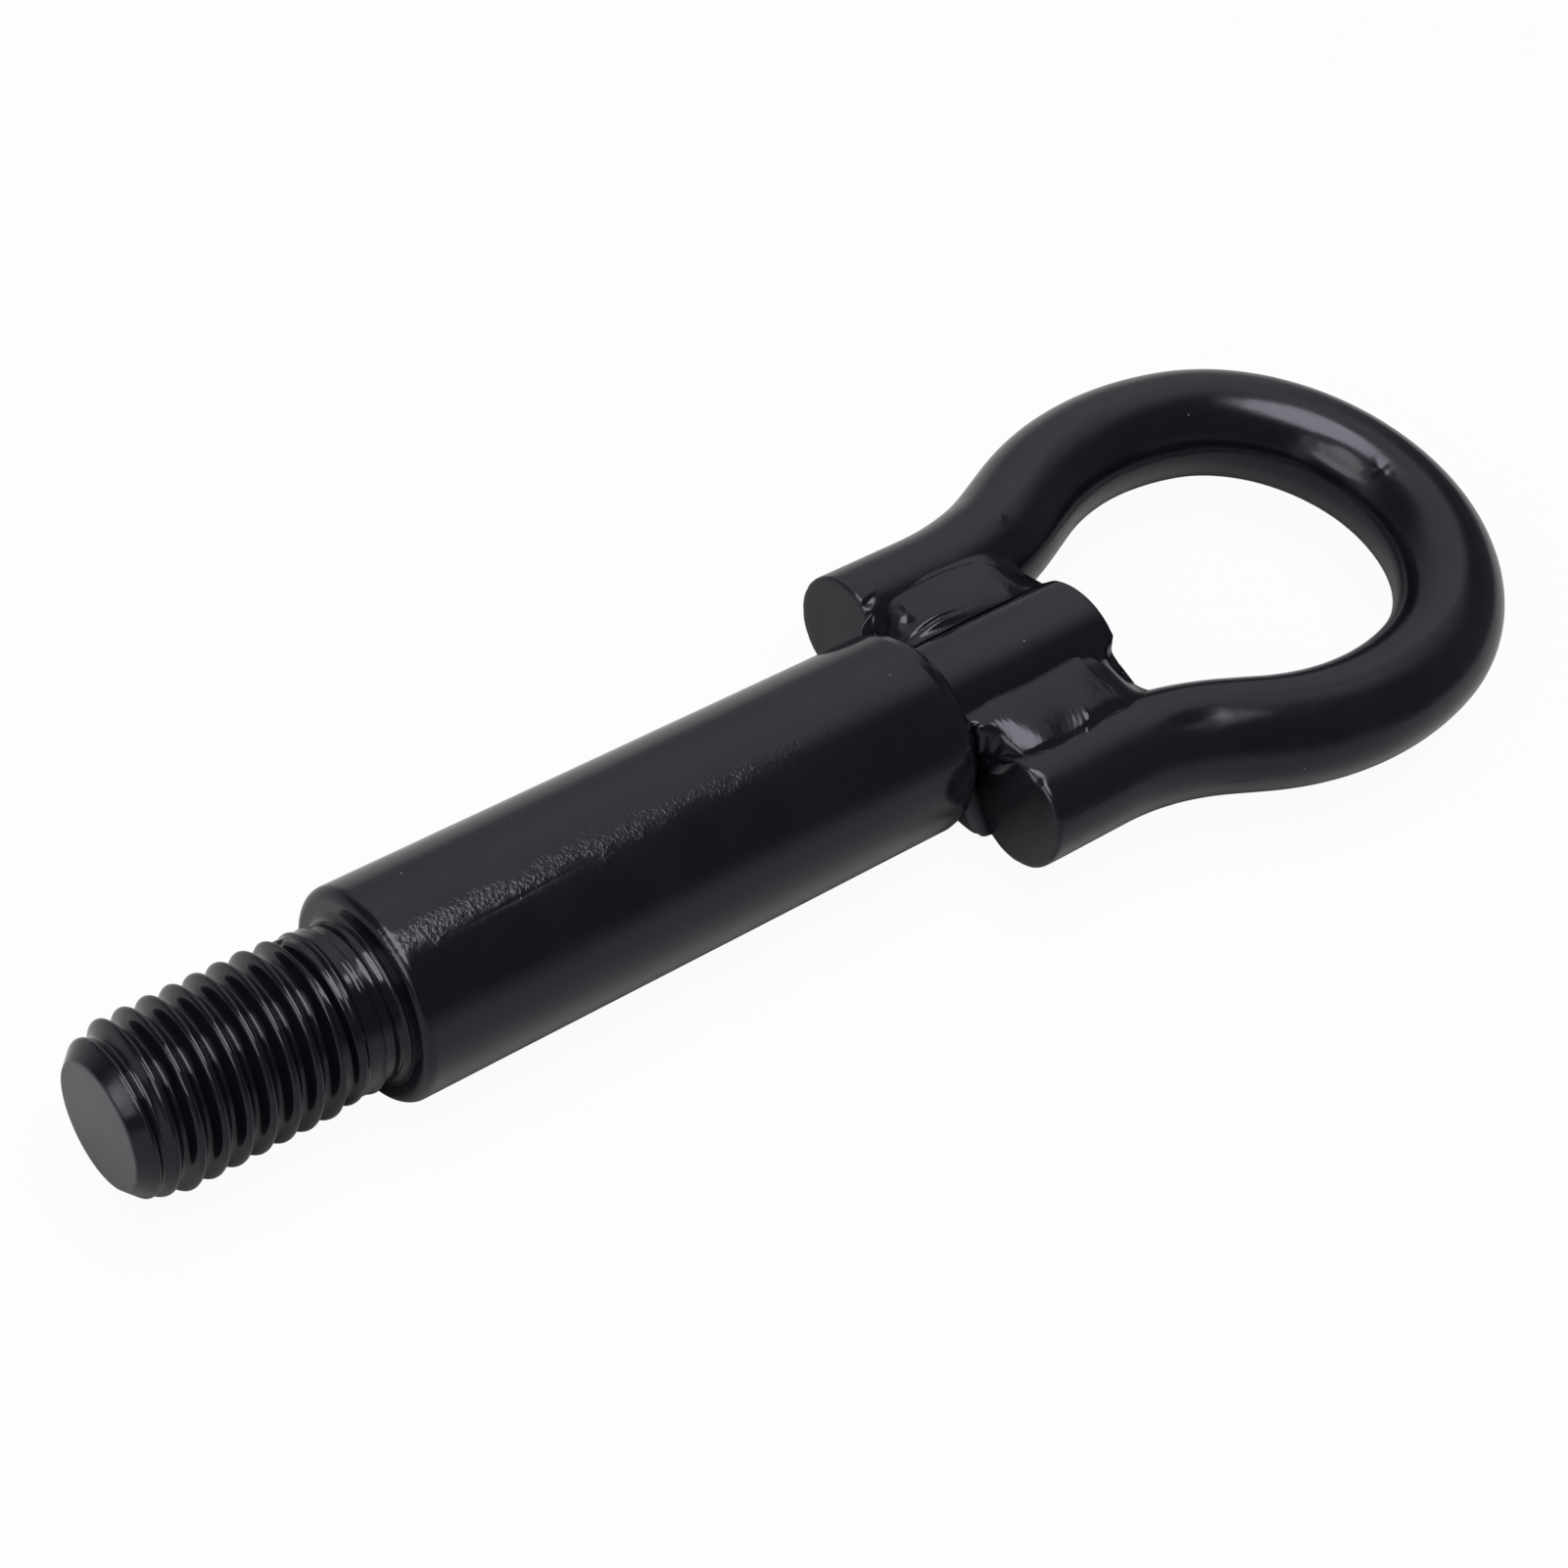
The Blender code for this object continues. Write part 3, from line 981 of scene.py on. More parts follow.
@dataclass
class Body:
    """The turned body with its rounded shoulder, end chamfer and the spigot behind it.

    Args:
        radius: radius of the body.
        length: length from the shoulder to the step.
        shoulder_rounding: rounding of the shoulder's edge.
        peel_middle: middle angle of the peeling band, as (station, degrees) pairs.
        peel_width: half-width of the band, as (station, degrees) pairs.
        peel_reach: station where the band ends, and the length over which it fades.
        wrinkles: height of the band's wrinkles, as (height, cell, seed).
        wave_height: height of the gentle waves all over.
        grit_height: height of the fine grit all over.
        chamfer_length: length of the chamfer at the step.
        chamfer_height: height of that chamfer.
        spigot_radius: radius of the spigot.
        spigot_length: length of the spigot.
        spigot_edge: rounding of the spigot's rim.
        soot: start and rise of the sooty patch by the weld, its middle and half-width in degrees.
        soot_dull: how dull that patch is.
        columns: columns of the mesh.
        crowding: how much closer the columns stand at one angle.
        crowded_angle: that angle.
        marks: dents, a scratch and drops in the paint, at stations and angles.
        melted: where welding raised or sank the spigot's rim, at stations and angles.
    """

    radius: float = 11.125
    length: float = 69.5
    shoulder_rounding: float = 1.2
    peel_middle: Pairs = (
        (0.0, 105.5), (4.0, 103.5), (10.0, 103.6), (16.0, 103.6), (22.0, 102.5), (26.0, 104.0),
        (30.0, 102.8), (36.0, 102.4), (43.0, 101.0), (56.0, 100.5),
    )
    peel_width: Pairs = (
        (0.0, 8.5), (8.0, 6.5), (16.0, 5.5), (21.0, 5.5), (24.0, 8.5), (27.0, 7.0),
        (31.0, 5.2), (56.0, 4.2),
    )
    peel_reach: tuple[float, float] = (60.0, 12.0)
    wrinkles: tuple[tuple[float, float, int], ...] = ((0.009, 1.1, 14), (0.008, 0.65, 15))
    wave_height: float = 0.012
    grit_height: float = 0.0015
    chamfer_length: float = 1.85
    chamfer_height: float = 1.06
    spigot_radius: float = 8.2
    spigot_length: float = 22.8
    spigot_edge: float = 0.4
    soot: tuple[float, float, float, float] = (64.0, 3.5, 166.0, 24.0)
    soot_dull: float = 0.45
    columns: int = 256
    crowding: float = 0.5
    crowded_angle: float = 105.0
    marks: tuple[Bump, ...] = field(
        default=(
            Bump(13.1, 84.2, 1.1, 1.6, -0.055, 0.4),
            Bump(23.5, 86.5, 1.6, 1.9, -0.080, 0.5),
            Bump(18.6, 80.0, 0.7, 0.7, -0.020),
            Bump(14.6, 110.7, 5.4, 0.8, -0.030, -0.16),
            Bump(26.4, 84.0, 0.8, 0.8, -0.022, 0.6),
            Bump(15.0, 42.0, 2.2, 1.2, -0.05),
            Bump(30.5, 72.3, 0.5, 0.5, 0.02),
            Bump(44.0, 131.0, 1.6, 0.7, -0.02),
            Bump(58.0, 121.0, 0.6, 0.6, 0.02),
        )
    )
    melted: tuple[Bump, ...] = field(
        default=(
            Bump(92.6, 138.0, 1.7, 10.0, -1.3),
            Bump(92.3, 124.5, 0.5, 2.5, 0.18),
            Bump(92.3, 42.0, 0.9, 7.0, -0.6),
            Bump(92.3, 221.0, 1.0, 9.0, -0.8),
            Bump(92.3, 318.0, 1.0, 9.0, -0.8),
        )
    )

    def rows(self) -> np.ndarray:
        """Turned profile from the shoulder face's middle to the spigot face's middle.

        Returns:
            The rows, as stations and radii.
        """
        rounding = self.shoulder_rounding
        end = self.length
        low = self.radius - self.chamfer_height
        edge = self.spigot_edge
        tip = end + self.spigot_length
        bend = end - self.chamfer_length
        bend_start, bend_end = (bend - 0.5, self.radius), (bend + 0.5, self.radius - 0.20)
        edge_start, edge_end = (end - 0.30, low + 0.06), (end, low - 0.26)
        parts = [
            line_rows((0.0, 0.0), (0.0, self.radius - rounding), 8),
            arc_rows((rounding, self.radius - rounding), rounding, 180.0, 90.0, 14),
            line_rows((rounding, self.radius), bend_start, 236),
            line_rows(bend_start, bend_end, 7),
            line_rows(bend_end, edge_start, 7),
            line_rows(edge_start, edge_end, 6),
            line_rows(edge_end, (end, self.spigot_radius), 6),
            line_rows((end, self.spigot_radius), (tip - edge, self.spigot_radius), 56),
            arc_rows((tip - edge, self.spigot_radius - edge), edge, 90.0, 0.0, 7),
            line_rows((tip, self.spigot_radius - edge), (tip, 0.0), 9),
            np.array([(tip, 0.0)]),
        ]
        return np.concatenate(parts)

    def angles(self) -> np.ndarray:
        """Angles of the columns in degrees, closer together along the peeled band.

        The angle is the even one plus a sine of it, whose slope is lowest at the band.
        """
        even = 360.0 * (np.arange(self.columns + 1) % self.columns) / self.columns
        turned = np.radians(even - self.crowded_angle + 180.0)
        return even + np.degrees(self.crowding) * np.sin(turned)

    def melt(self, station: np.ndarray, degrees: np.ndarray) -> np.ndarray:
        """How far the welding raised the spigot, or lowered it where negative.

        Args:
            station: stations of the points.
            degrees: their angles.

        Returns:
            The heights: the bumps, which set in over 8 mm behind the step.
        """
        near_end = smooth_step((station - self.length - 8.0) / 8.0)
        return total_rise(self.melted, station, degrees) * near_end

    def unrolled(self, station: np.ndarray, degrees: np.ndarray) -> np.ndarray:
        """Places on the body's round laid flat: the station and the arc from the far side."""
        return np.stack([station, self.radius * np.radians(degrees), station * 0.0], axis=-1)

    def peeled(self, station: np.ndarray, degrees: np.ndarray) -> np.ndarray:
        """Share of peeling paint: a band along the top with a ragged edge, patchy further on.

        Args:
            station: stations of the points.
            degrees: their angles.

        Returns:
            Values from 0 to 1.
        """
        flat = self.unrolled(station, degrees)
        middle = np.interp(station, *zip(*self.peel_middle)) + 2.0 * lattice_noise(flat, 4.0, 12)
        width = np.interp(station, *zip(*self.peel_width))
        ragged = 0.55 * lattice_noise(flat, 1.5, 18) + 0.35 * lattice_noise(flat, 0.6, 19)
        band = smooth_step(1.6 - np.abs(degrees - middle) / width + ragged)
        patchy = smooth_step(1.50 - station / 75.0 + 0.8 * lattice_noise(flat, 3.0, 13))
        reach, fade = self.peel_reach
        return band * patchy * smooth_step((reach - station) / fade)

    def relief(self, station: np.ndarray, degrees: np.ndarray) -> np.ndarray:
        """Height of the paint over the turned body.

        The peeling band is wrinkled: two noises whose peaks are sharpened.  Gentle waves,
        dents and a scratch lie all over.

        Args:
            station: stations of the points.
            degrees: their angles.

        Returns:
            Heights in millimetres.
        """
        flat = self.unrolled(station, degrees)
        sharp = sum(
            high * (1.0 - np.abs(lattice_noise(flat, cell, seed)) * 2.0)
            for high, cell, seed in self.wrinkles
        )
        wrinkle = self.peeled(station, degrees) * sharp
        waves = self.wave_height * lattice_noise(flat * np.array([0.35, 1.0, 1.0]), 4.0, 16)
        grit = self.grit_height * lattice_noise(flat, 0.6, 17)
        return wrinkle + waves + grit + total_rise(self.marks, station, degrees)

    def points(self, frame: SolidFrame) -> tuple[np.ndarray, dict[str, np.ndarray]]:
        """Grid of the body: the profile turned round the axis, with the relief added.

        Args:
            frame: where the solids stand.

        Returns:
            The points, and where the paint peels, rusts and is dull with soot.
        """
        rows = self.rows()
        degrees = self.angles()[None, :]
        station = rows[:, :1] + degrees * 0.0
        profile = rows[:, 1:] + degrees * 0.0
        end, tip = self.length, self.length + self.spigot_length
        on_body = window(station, 0.0, 0.8, end - 2.0, 1.5)
        on_spigot = window(station, end + 1.0, 2.0, tip - 1.0, 1.0)
        relief = self.relief(station, degrees + station * 0.0)
        radius = profile + relief * (on_body + 0.4 * on_spigot)
        turned = np.mod(degrees, 360.0) + station * 0.0
        radius = radius + self.melt(station, turned) * (profile / self.spigot_radius) ** 4
        angle = np.radians(degrees)
        outside = smooth_step((profile - self.radius + 1.1) / 0.4)
        start, rise, middle, half = self.soot
        soot = smooth_step((station - start) / rise) * peak(turned, middle, half)
        soot = soot * (0.9 + 0.5 * lattice_noise(self.unrolled(station, turned), 0.8, 20))
        layers = {
            "peel": self.peeled(station, turned) * outside,
            "rust": peak(station, end + 0.6, 1.4) * peak(turned, 182.0, 34.0),
            "dull": self.soot_dull * np.clip(soot, 0.0, 1.0) * outside,
        }
        return frame.place(station, radius * np.cos(angle), radius * np.sin(angle)), layers

    def build(self, frame: SolidFrame, finish: PaintFinish) -> bpy.types.Object:
        """Build and dress the body and spigot.

        Args:
            frame: where the solids stand.
            finish: its paint.

        Returns:
            The piece.
        """
        piece = surface("turned_body", *self.points(frame))
        return dress(piece, finish, "shank")


@dataclass
class EyeBar:
    """The eye: a round bar bent in a level plane, its two legs sawn off square.

    Args:
        bar_radius: radius of the bar.
        tip_station: station of the centre line at the tip.
        tip_radius: radius of the centre line round the tip.
        tip_arc: angle of that arc on each side.
        side_radius: radius of the centre line along the sides.
        flare_radius: radius of the bends into the legs.
        flare_straight: length of the straight between side and bend.
        leg_offset: distance of a leg's centre line from the axis.
        leg_end: station of the sawn ends.
        line_step: step along the centre line with which it is drawn.
        ring_step: distance of the mesh's rings.
        sides: columns of the mesh round the bar.
        marks: flats, dents and drops, at distances along the bar and angles round it.
        burrs: burrs and nicks at the sawn ends, in the same measures.
        facet: width of the torn strip behind the right leg's end, as (degrees, width) pairs.
        facet_slope: how steeply the strip falls towards the end.
        chip_depth: depth of the chips along the sawn edges.
        worn: angles of the worn strip on top: start, rise, end and fall.
        worn_parts: its parts along the bar, as (strength, start, rise, end, fall).
    """

    bar_radius: float = 6.2
    tip_station: float = 143.64
    tip_radius: float = 22.4
    tip_arc: float = 74.5
    side_radius: float = 36.2
    flare_radius: float = 39.4
    flare_straight: float = 4.0
    leg_offset: float = 14.65
    leg_end: float = 71.4
    line_step: float = 0.02
    ring_step: float = 0.34
    sides: int = 168
    marks: tuple[Bump, ...] = field(
        default=(
            Bump(92.5, 138.0, 4.2, 9.0, -0.16),
            Bump(87.6, 124.0, 0.45, 3.5, 0.05),
            Bump(86.9, 118.0, 0.40, 3.5, -0.05),
            Bump(86.2, 125.0, 0.40, 3.0, 0.05),
            Bump(87.2, 131.0, 0.40, 3.5, -0.05),
            Bump(85.6, 120.0, 0.45, 3.5, -0.04),
            Bump(88.4, 119.0, 0.35, 3.0, 0.03),
            Bump(22.2, 72.0, 3.7, 10.0, -0.33),
            Bump(30.5, 69.0, 2.4, 11.0, 0.05),
            Bump(27.5, 8.0, 2.2, 14.0, -0.06),
            Bump(30.8, 6.0, 0.7, 12.0, 0.04),
            Bump(150.8, 98.0, 0.5, 5.0, 0.10),
            Bump(149.0, 35.0, 2.5, 16.0, -0.06),
            Bump(60.0, 120.0, 5.0, 25.0, -0.04),
        )
    )
    burrs: tuple[Bump, ...] = field(
        default=(
            Bump(0.4, 72.5, 0.3, 1.5, 0.06),
            Bump(0.3, 38.0, 0.3, 2.0, 0.05),
            Bump(171.5, 102.6, 1.0, 1.8, 0.20, 2.7),
            Bump(171.9, 108.5, 0.7, 4.0, -0.30, 2.7),
            Bump(172.6, 122.0, 0.5, 5.0, -0.30),
        )
    )
    facet: Pairs = (
        (18, 0.0), (28, 0.20), (38, 0.16), (48, 0.30), (58, 0.34), (66, 0.46), (74, 0.56),
        (82, 1.00), (87, 0.95), (93, 0.50), (100, 0.0),
    )
    facet_slope: float = 0.62
    chip_depth: float = 0.12
    worn: tuple[float, float, float, float] = (133.2, 1.8, 144.6, 1.8)
    worn_parts: tuple[tuple[float, float, float, float, float], ...] = (
        (1.0, 88.6, 0.6, 96.6, 0.7),
        (0.35, 95.8, 0.6, 99.4, 1.2),
    )

    @property
    def flare(self) -> float:
        """Angle of the straight part of the sides, so that arcs and straight meet the legs."""
        blend = self.side_radius - self.tip_radius
        widest = self.side_radius - blend * math.sin(math.radians(self.tip_arc))
        rise = widest - self.leg_offset
        arcs = self.side_radius + self.flare_radius
        root = math.sqrt(self.flare_straight**2 + rise * (2 * arcs - rise))
        return 2 * math.atan((root - self.flare_straight) / (2 * arcs - rise))

    def half_line(self) -> tuple[np.ndarray, np.ndarray, np.ndarray]:
        """Centre line of the left half, from the tip to the leg's end.

        The heading turns at a steady rate within each arc, and the place is the running sum of
        small steps along the heading.

        Returns:
            Stations, distances from the axis, and headings in radians.
        """
        tip_arc = math.radians(self.tip_arc)
        lengths = [
            self.tip_radius * tip_arc,
            self.side_radius * (math.pi / 2 + self.flare - tip_arc),
            self.flare_straight,
            self.flare_radius * self.flare,
        ]
        turned = [tip_arc, math.pi / 2 + self.flare - tip_arc, 0.0, -self.flare]
        stops = np.concatenate([[0.0], np.cumsum(lengths)])
        headings = math.pi / 2 + np.concatenate([[0.0], np.cumsum(turned)])
        step = self.line_step
        along = np.arange(0.0, stops[-1], step)
        heading = np.interp(along + step / 2, stops, headings)
        station = self.tip_station + np.cumsum(np.cos(heading)) * step
        across = np.cumsum(np.sin(heading)) * step
        rest = np.arange(station[-1] - step, self.leg_end, -step)
        station = np.concatenate([[self.tip_station], station, rest, [self.leg_end]])
        across = np.concatenate([[0.0], across, rest * 0.0 + self.leg_offset, [self.leg_offset]])
        heading = np.concatenate([[math.pi / 2], heading, rest * 0.0 + math.pi, [math.pi]])
        return station, across, heading

    def centre_line(self) -> tuple[np.ndarray, np.ndarray, np.ndarray, np.ndarray]:
        """Whole centre line from the right leg's end over the tip to the left leg's end.

        Returns:
            Distances along it, stations, distances from the axis, and headings.
        """
        station, across, heading = self.half_line()
        whole_station = np.concatenate([station[::-1], station[1:]])
        whole_across = np.concatenate([-across[::-1], across[1:]])
        whole_heading = np.concatenate([math.pi - heading[::-1], heading[1:]])
        steps = np.hypot(np.diff(whole_station), np.diff(whole_across))
        along = np.concatenate([[0.0], np.cumsum(steps)])
        return along, whole_station, whole_across, whole_heading

    def leg_place(self, station: np.ndarray) -> tuple[np.ndarray, np.ndarray]:
        """Distance of a leg's centre line from the axis at stations, and its slope.

        Args:
            station: the stations.

        Returns:
            The distances and the slopes.
        """
        line_station, across, heading = self.half_line()
        near = line_station < self.tip_station - self.tip_radius
        known = line_station[near][::-1]
        offset = np.interp(station, known, across[near][::-1])
        slope = np.interp(station, known, heading[near][::-1] - math.pi)
        return offset, slope

    def points(self, frame: SolidFrame) -> tuple[np.ndarray, dict[str, np.ndarray]]:
        """Grid of the bar: rings square to the centre line, and sawn faces at both ends.

        Args:
            frame: where the solids stand.

        Returns:
            The points, how dull the paint is, where rust may show, and places along and
            round the bar that stretch its fine lines.
        """
        along, station, across, heading = self.centre_line()
        total = along[-1]
        body = np.linspace(0.42, total - 0.42, math.ceil(total / self.ring_step))
        cap_radius = np.concatenate([np.linspace(0.0, 0.93, 12), [0.965, 0.99]])
        cap_depth = np.concatenate([np.zeros(12), [0.03, 0.14]])
        place = np.concatenate([cap_depth, body, total - cap_depth[::-1]])
        share = np.concatenate([cap_radius, np.ones(len(body)), cap_radius[::-1]])
        angle = TAU * (np.arange(self.sides + 1) % self.sides) / self.sides
        degrees = np.degrees(angle)[None, :] + place[:, None] * 0.0
        long = place[:, None] + degrees * 0.0
        heading_here = np.interp(place, along, heading)[:, None]
        centre_station = np.interp(place, along, station)[:, None]
        centre_across = np.interp(place, along, across)[:, None]
        from_end = np.minimum(long, total - long)
        round_y, round_z = self.bar_radius * np.cos(angle), self.bar_radius * np.sin(angle)
        flat = np.stack([long, round_y + long * 0.0, round_z + long * 0.0], axis=-1)
        relief = 0.030 * lattice_noise(flat * np.array([0.5, 1.0, 1.0]), 5.0, 21)
        relief = relief + 0.006 * lattice_noise(flat, 1.6, 22)
        relief = relief + total_rise(self.marks, long, degrees)
        edge = np.exp(-from_end / 0.5)
        chips = np.minimum(lattice_noise(flat, 1.1, 23), 0.0) * self.chip_depth
        hidden = from_end < 0.2
        relief = relief + edge * chips + total_rise(self.burrs, long, degrees)
        wide = np.interp(degrees, *zip(*self.facet))
        torn = self.facet_slope * soft_least(long - wide, long * 0.0, 0.20)
        radius = (self.bar_radius + relief + torn * (wide > 0.01)) * share[:, None]
        saw_lines = flat * share[:, None, None] * np.array([0.0, 1.0, 0.3])
        saw = 0.03 * lattice_noise(saw_lines, 2.2, 24)
        setback = np.where(hidden, saw * (1.0 - share[:, None] ** 6), 0.0)
        setback = setback * np.where(long < total / 2, 1.0, -1.0)
        out = radius * np.cos(angle)
        x = centre_station + out * np.sin(heading_here) + setback * np.cos(heading_here)
        y = centre_across - out * np.cos(heading_here)
        smudge = 0.75 + 0.25 * lattice_noise(flat, 0.7, 25) + 0.15 * lattice_noise(flat, 2.0, 26)
        worn = sum(strength * window(long, *part) for strength, *part in self.worn_parts)
        worn = worn * window(degrees, *self.worn)
        dull = np.clip(worn * smudge, 0.0, 1.0) + 0.10 * np.where(hidden, 1.0, 0.0)
        inner = smooth_step((-out - 2.2) / 2.0)
        layers = {
            "dull": dull,
            "rust": edge * inner,
            "flow": flat * MM * np.array([0.12, 1.0, 1.0]),
        }
        return frame.place(x, y, radius * np.sin(angle)), layers

    def build(self, frame: SolidFrame, finish: PaintFinish) -> bpy.types.Object:
        """Build and dress the eye.

        Args:
            frame: where the solids stand.
            finish: its paint.

        Returns:
            The piece.
        """
        piece = surface("bent_eye", *self.points(frame))
        return dress(piece, finish, "eye_bar")


@dataclass(frozen=True)
class FrontSlope:
    """One slope of a bead's front: the surface falls by slope before a distance from its start.

    Args:
        until: distance behind the bead's front line where the slope ends.
        slope: how much the surface falls for each millimetre before that.
        rounding: length over which the slope begins.
    """

    until: float
    slope: float
    rounding: float

    def drop(self, distance: np.ndarray) -> np.ndarray:
        """How far the surface lies lower at distances behind the front line.

        Args:
            distance: the distances.

        Returns:
            The drop.
        """
        before = self.until - distance
        return -self.slope * soft_least(-before, np.zeros_like(before), self.rounding)


@dataclass(frozen=True)
class Toes:
    """Edges of a bead on the leg and on the spigot, as rows by steps from the root to the toe."""

    leg_across: np.ndarray
    leg_up: np.ndarray
    leg_angle: np.ndarray
    spigot_across: np.ndarray
    spigot_up: np.ndarray
    spigot_angle: np.ndarray


@dataclass
class Bead:
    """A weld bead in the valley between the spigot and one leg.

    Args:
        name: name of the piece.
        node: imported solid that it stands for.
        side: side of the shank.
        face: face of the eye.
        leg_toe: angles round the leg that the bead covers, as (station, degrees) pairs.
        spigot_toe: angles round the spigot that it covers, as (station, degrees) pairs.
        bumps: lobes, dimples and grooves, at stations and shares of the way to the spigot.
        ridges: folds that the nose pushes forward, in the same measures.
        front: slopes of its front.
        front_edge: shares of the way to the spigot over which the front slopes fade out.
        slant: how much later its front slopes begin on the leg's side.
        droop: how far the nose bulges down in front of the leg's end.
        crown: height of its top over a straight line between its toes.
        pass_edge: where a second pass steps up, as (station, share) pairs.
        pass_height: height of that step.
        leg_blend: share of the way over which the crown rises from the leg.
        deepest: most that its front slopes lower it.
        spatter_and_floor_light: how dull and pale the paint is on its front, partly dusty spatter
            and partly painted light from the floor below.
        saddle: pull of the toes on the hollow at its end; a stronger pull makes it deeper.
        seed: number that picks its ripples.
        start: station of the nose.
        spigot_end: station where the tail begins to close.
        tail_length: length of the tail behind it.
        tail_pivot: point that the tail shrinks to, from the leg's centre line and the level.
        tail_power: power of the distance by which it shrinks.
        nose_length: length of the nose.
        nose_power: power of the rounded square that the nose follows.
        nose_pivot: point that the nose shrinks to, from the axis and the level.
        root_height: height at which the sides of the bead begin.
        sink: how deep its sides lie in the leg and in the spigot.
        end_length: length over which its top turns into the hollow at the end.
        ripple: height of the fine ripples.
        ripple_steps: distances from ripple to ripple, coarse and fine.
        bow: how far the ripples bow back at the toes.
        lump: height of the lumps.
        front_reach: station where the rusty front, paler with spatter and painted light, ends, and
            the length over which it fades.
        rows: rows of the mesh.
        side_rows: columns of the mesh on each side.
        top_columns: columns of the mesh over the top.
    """

    name: str
    node: str
    side: Side
    face: Face
    leg_toe: Pairs
    spigot_toe: Pairs
    bumps: tuple[Bump, ...]
    ridges: tuple[Bump, ...] = ()
    front: tuple[FrontSlope, ...] = ()
    front_edge: tuple[float, float] = (1.1, 1.2)
    slant: float = 1.0
    droop: float = 0.0
    crown: float = 0.62
    pass_edge: Pairs = ()
    pass_height: float = 0.0
    leg_blend: float = 0.15
    deepest: float = 3.7
    # Pale front: part spatter, part painted light standing in for the floor's light on the
    # underside.
    spatter_and_floor_light: float = 0.0
    saddle: float = 8.0
    seed: int = 1
    start: float = 69.45
    spigot_end: float = 92.3
    tail_length: float = 0.45
    tail_pivot: tuple[float, float] = (-3.4, 2.4)
    tail_power: float = 2.4
    nose_length: float = 1.5
    nose_power: float = 3.2
    nose_pivot: tuple[float, float] = (7.5, 2.7)
    root_height: float = 1.9
    sink: float = 0.12
    end_length: float = 6.0
    ripple: float = 0.008
    ripple_steps: tuple[float, float] = (0.85, 0.31)
    bow: float = 1.6
    lump: float = 0.06
    front_reach: tuple[float, float] = (71.8, 1.5)
    rows: int = 200
    side_rows: int = 12
    top_columns: int = 88

    def spigot_degrees(self, angle: np.ndarray) -> np.ndarray:
        """Angles round the shank for angles up from the level on the bead's own side.

        Args:
            angle: the angles, in radians.

        Returns:
            The angles round the shank, in degrees.
        """
        level = 0.0 if self.side is Side.LEFT else 180.0
        rising = self.side.value * self.face.value
        return np.mod(level + rising * np.degrees(angle), 360.0)

    def toes(self, station: np.ndarray, eye: EyeBar, body: Body) -> Toes:
        """Edges of the bead on the leg and on the spigot.

        Args:
            station: one station for each row.
            eye: the eye, whose legs the bead follows.
            body: the body, whose spigot it follows, melted rim and all.

        Returns:
            Both edges, from the root to the toe.
        """
        held = np.minimum(station, self.spigot_end)
        offset, slope = eye.leg_place(station)
        radius = (eye.bar_radius - self.sink) / np.cos(slope)
        leg_root = math.asin(self.root_height / eye.bar_radius)
        spigot_root = math.asin(self.root_height / body.spigot_radius)
        leg_top = np.radians(np.interp(held, *zip(*self.leg_toe)))
        spigot_top = np.radians(np.interp(held, *zip(*self.spigot_toe)))
        rise = np.linspace(0.0, 1.0, self.side_rows + 1)
        leg_angle = leg_root + (leg_top - leg_root)[:, None] * rise
        spigot_angle = spigot_root + (spigot_top - spigot_root)[:, None] * rise
        melted = body.melt(held[:, None] + rise * 0.0, self.spigot_degrees(spigot_angle))
        spigot_radius = body.spigot_radius - self.sink + melted
        hang = self.droop * smooth_step((72.6 - station) / 1.4)[:, None] * np.sin(math.pi * rise)
        return Toes(
            leg_across=offset[:, None] - radius[:, None] * np.cos(leg_angle) + 0.5 * hang,
            leg_up=(eye.bar_radius - self.sink) * np.sin(leg_angle) - hang,
            leg_angle=leg_top[:, None],
            spigot_across=spigot_radius * np.cos(spigot_angle),
            spigot_up=spigot_radius * np.sin(spigot_angle),
            spigot_angle=spigot_top[:, None],
        )

    def top(
        self, station: np.ndarray, share: np.ndarray, toes: Toes
    ) -> tuple[np.ndarray, np.ndarray]:
        """Top of the bead from the leg's toe to the spigot's.

        In front it is the straight line between the toes, moved along its normal by the lift.
        Towards the end it turns into a hollow that leaves both toes along their rounds: the
        cubic whose ends are the toes and whose end slopes are the tangents times the saddle.

        Args:
            station: stations of the points.
            share: shares of the way from the leg to the spigot.
            toes: the edges.

        Returns:
            Distances from the axis, and heights.
        """
        from_across, from_up = toes.leg_across[:, -1:], toes.leg_up[:, -1:]
        run_across = toes.spigot_across[:, -1:] - from_across
        run_up = toes.spigot_up[:, -1:] - from_up
        run = np.hypot(run_across, run_up)
        lift = self.lift(station, share)
        across = from_across + run_across * share + lift * run_up / run
        up = from_up + run_up * share - lift * run_across / run
        squared, cubed = share**2, share**3
        leave = (cubed - 2.0 * squared + share) * self.saddle
        arrive = (cubed - squared) * self.saddle
        blend = 3.0 * squared - 2.0 * cubed
        round_across = from_across + run_across * blend - leave * np.sin(toes.leg_angle)
        round_across = round_across - arrive * np.sin(toes.spigot_angle)
        round_up = from_up + run_up * blend - leave * np.cos(toes.leg_angle)
        round_up = round_up + arrive * np.cos(toes.spigot_angle)
        flat = np.stack([station, share * 6.0, share * 0.0], axis=-1)
        wave = 0.06 * lattice_noise(flat, 2.2, self.seed + 5)
        round_up = round_up + wave * 16.0 * (share * (1.0 - share)) ** 2
        end = smooth_step((station - self.spigot_end + self.end_length) / (self.end_length - 0.6))
        return across + (round_across - across) * end, up + (round_up - up) * end

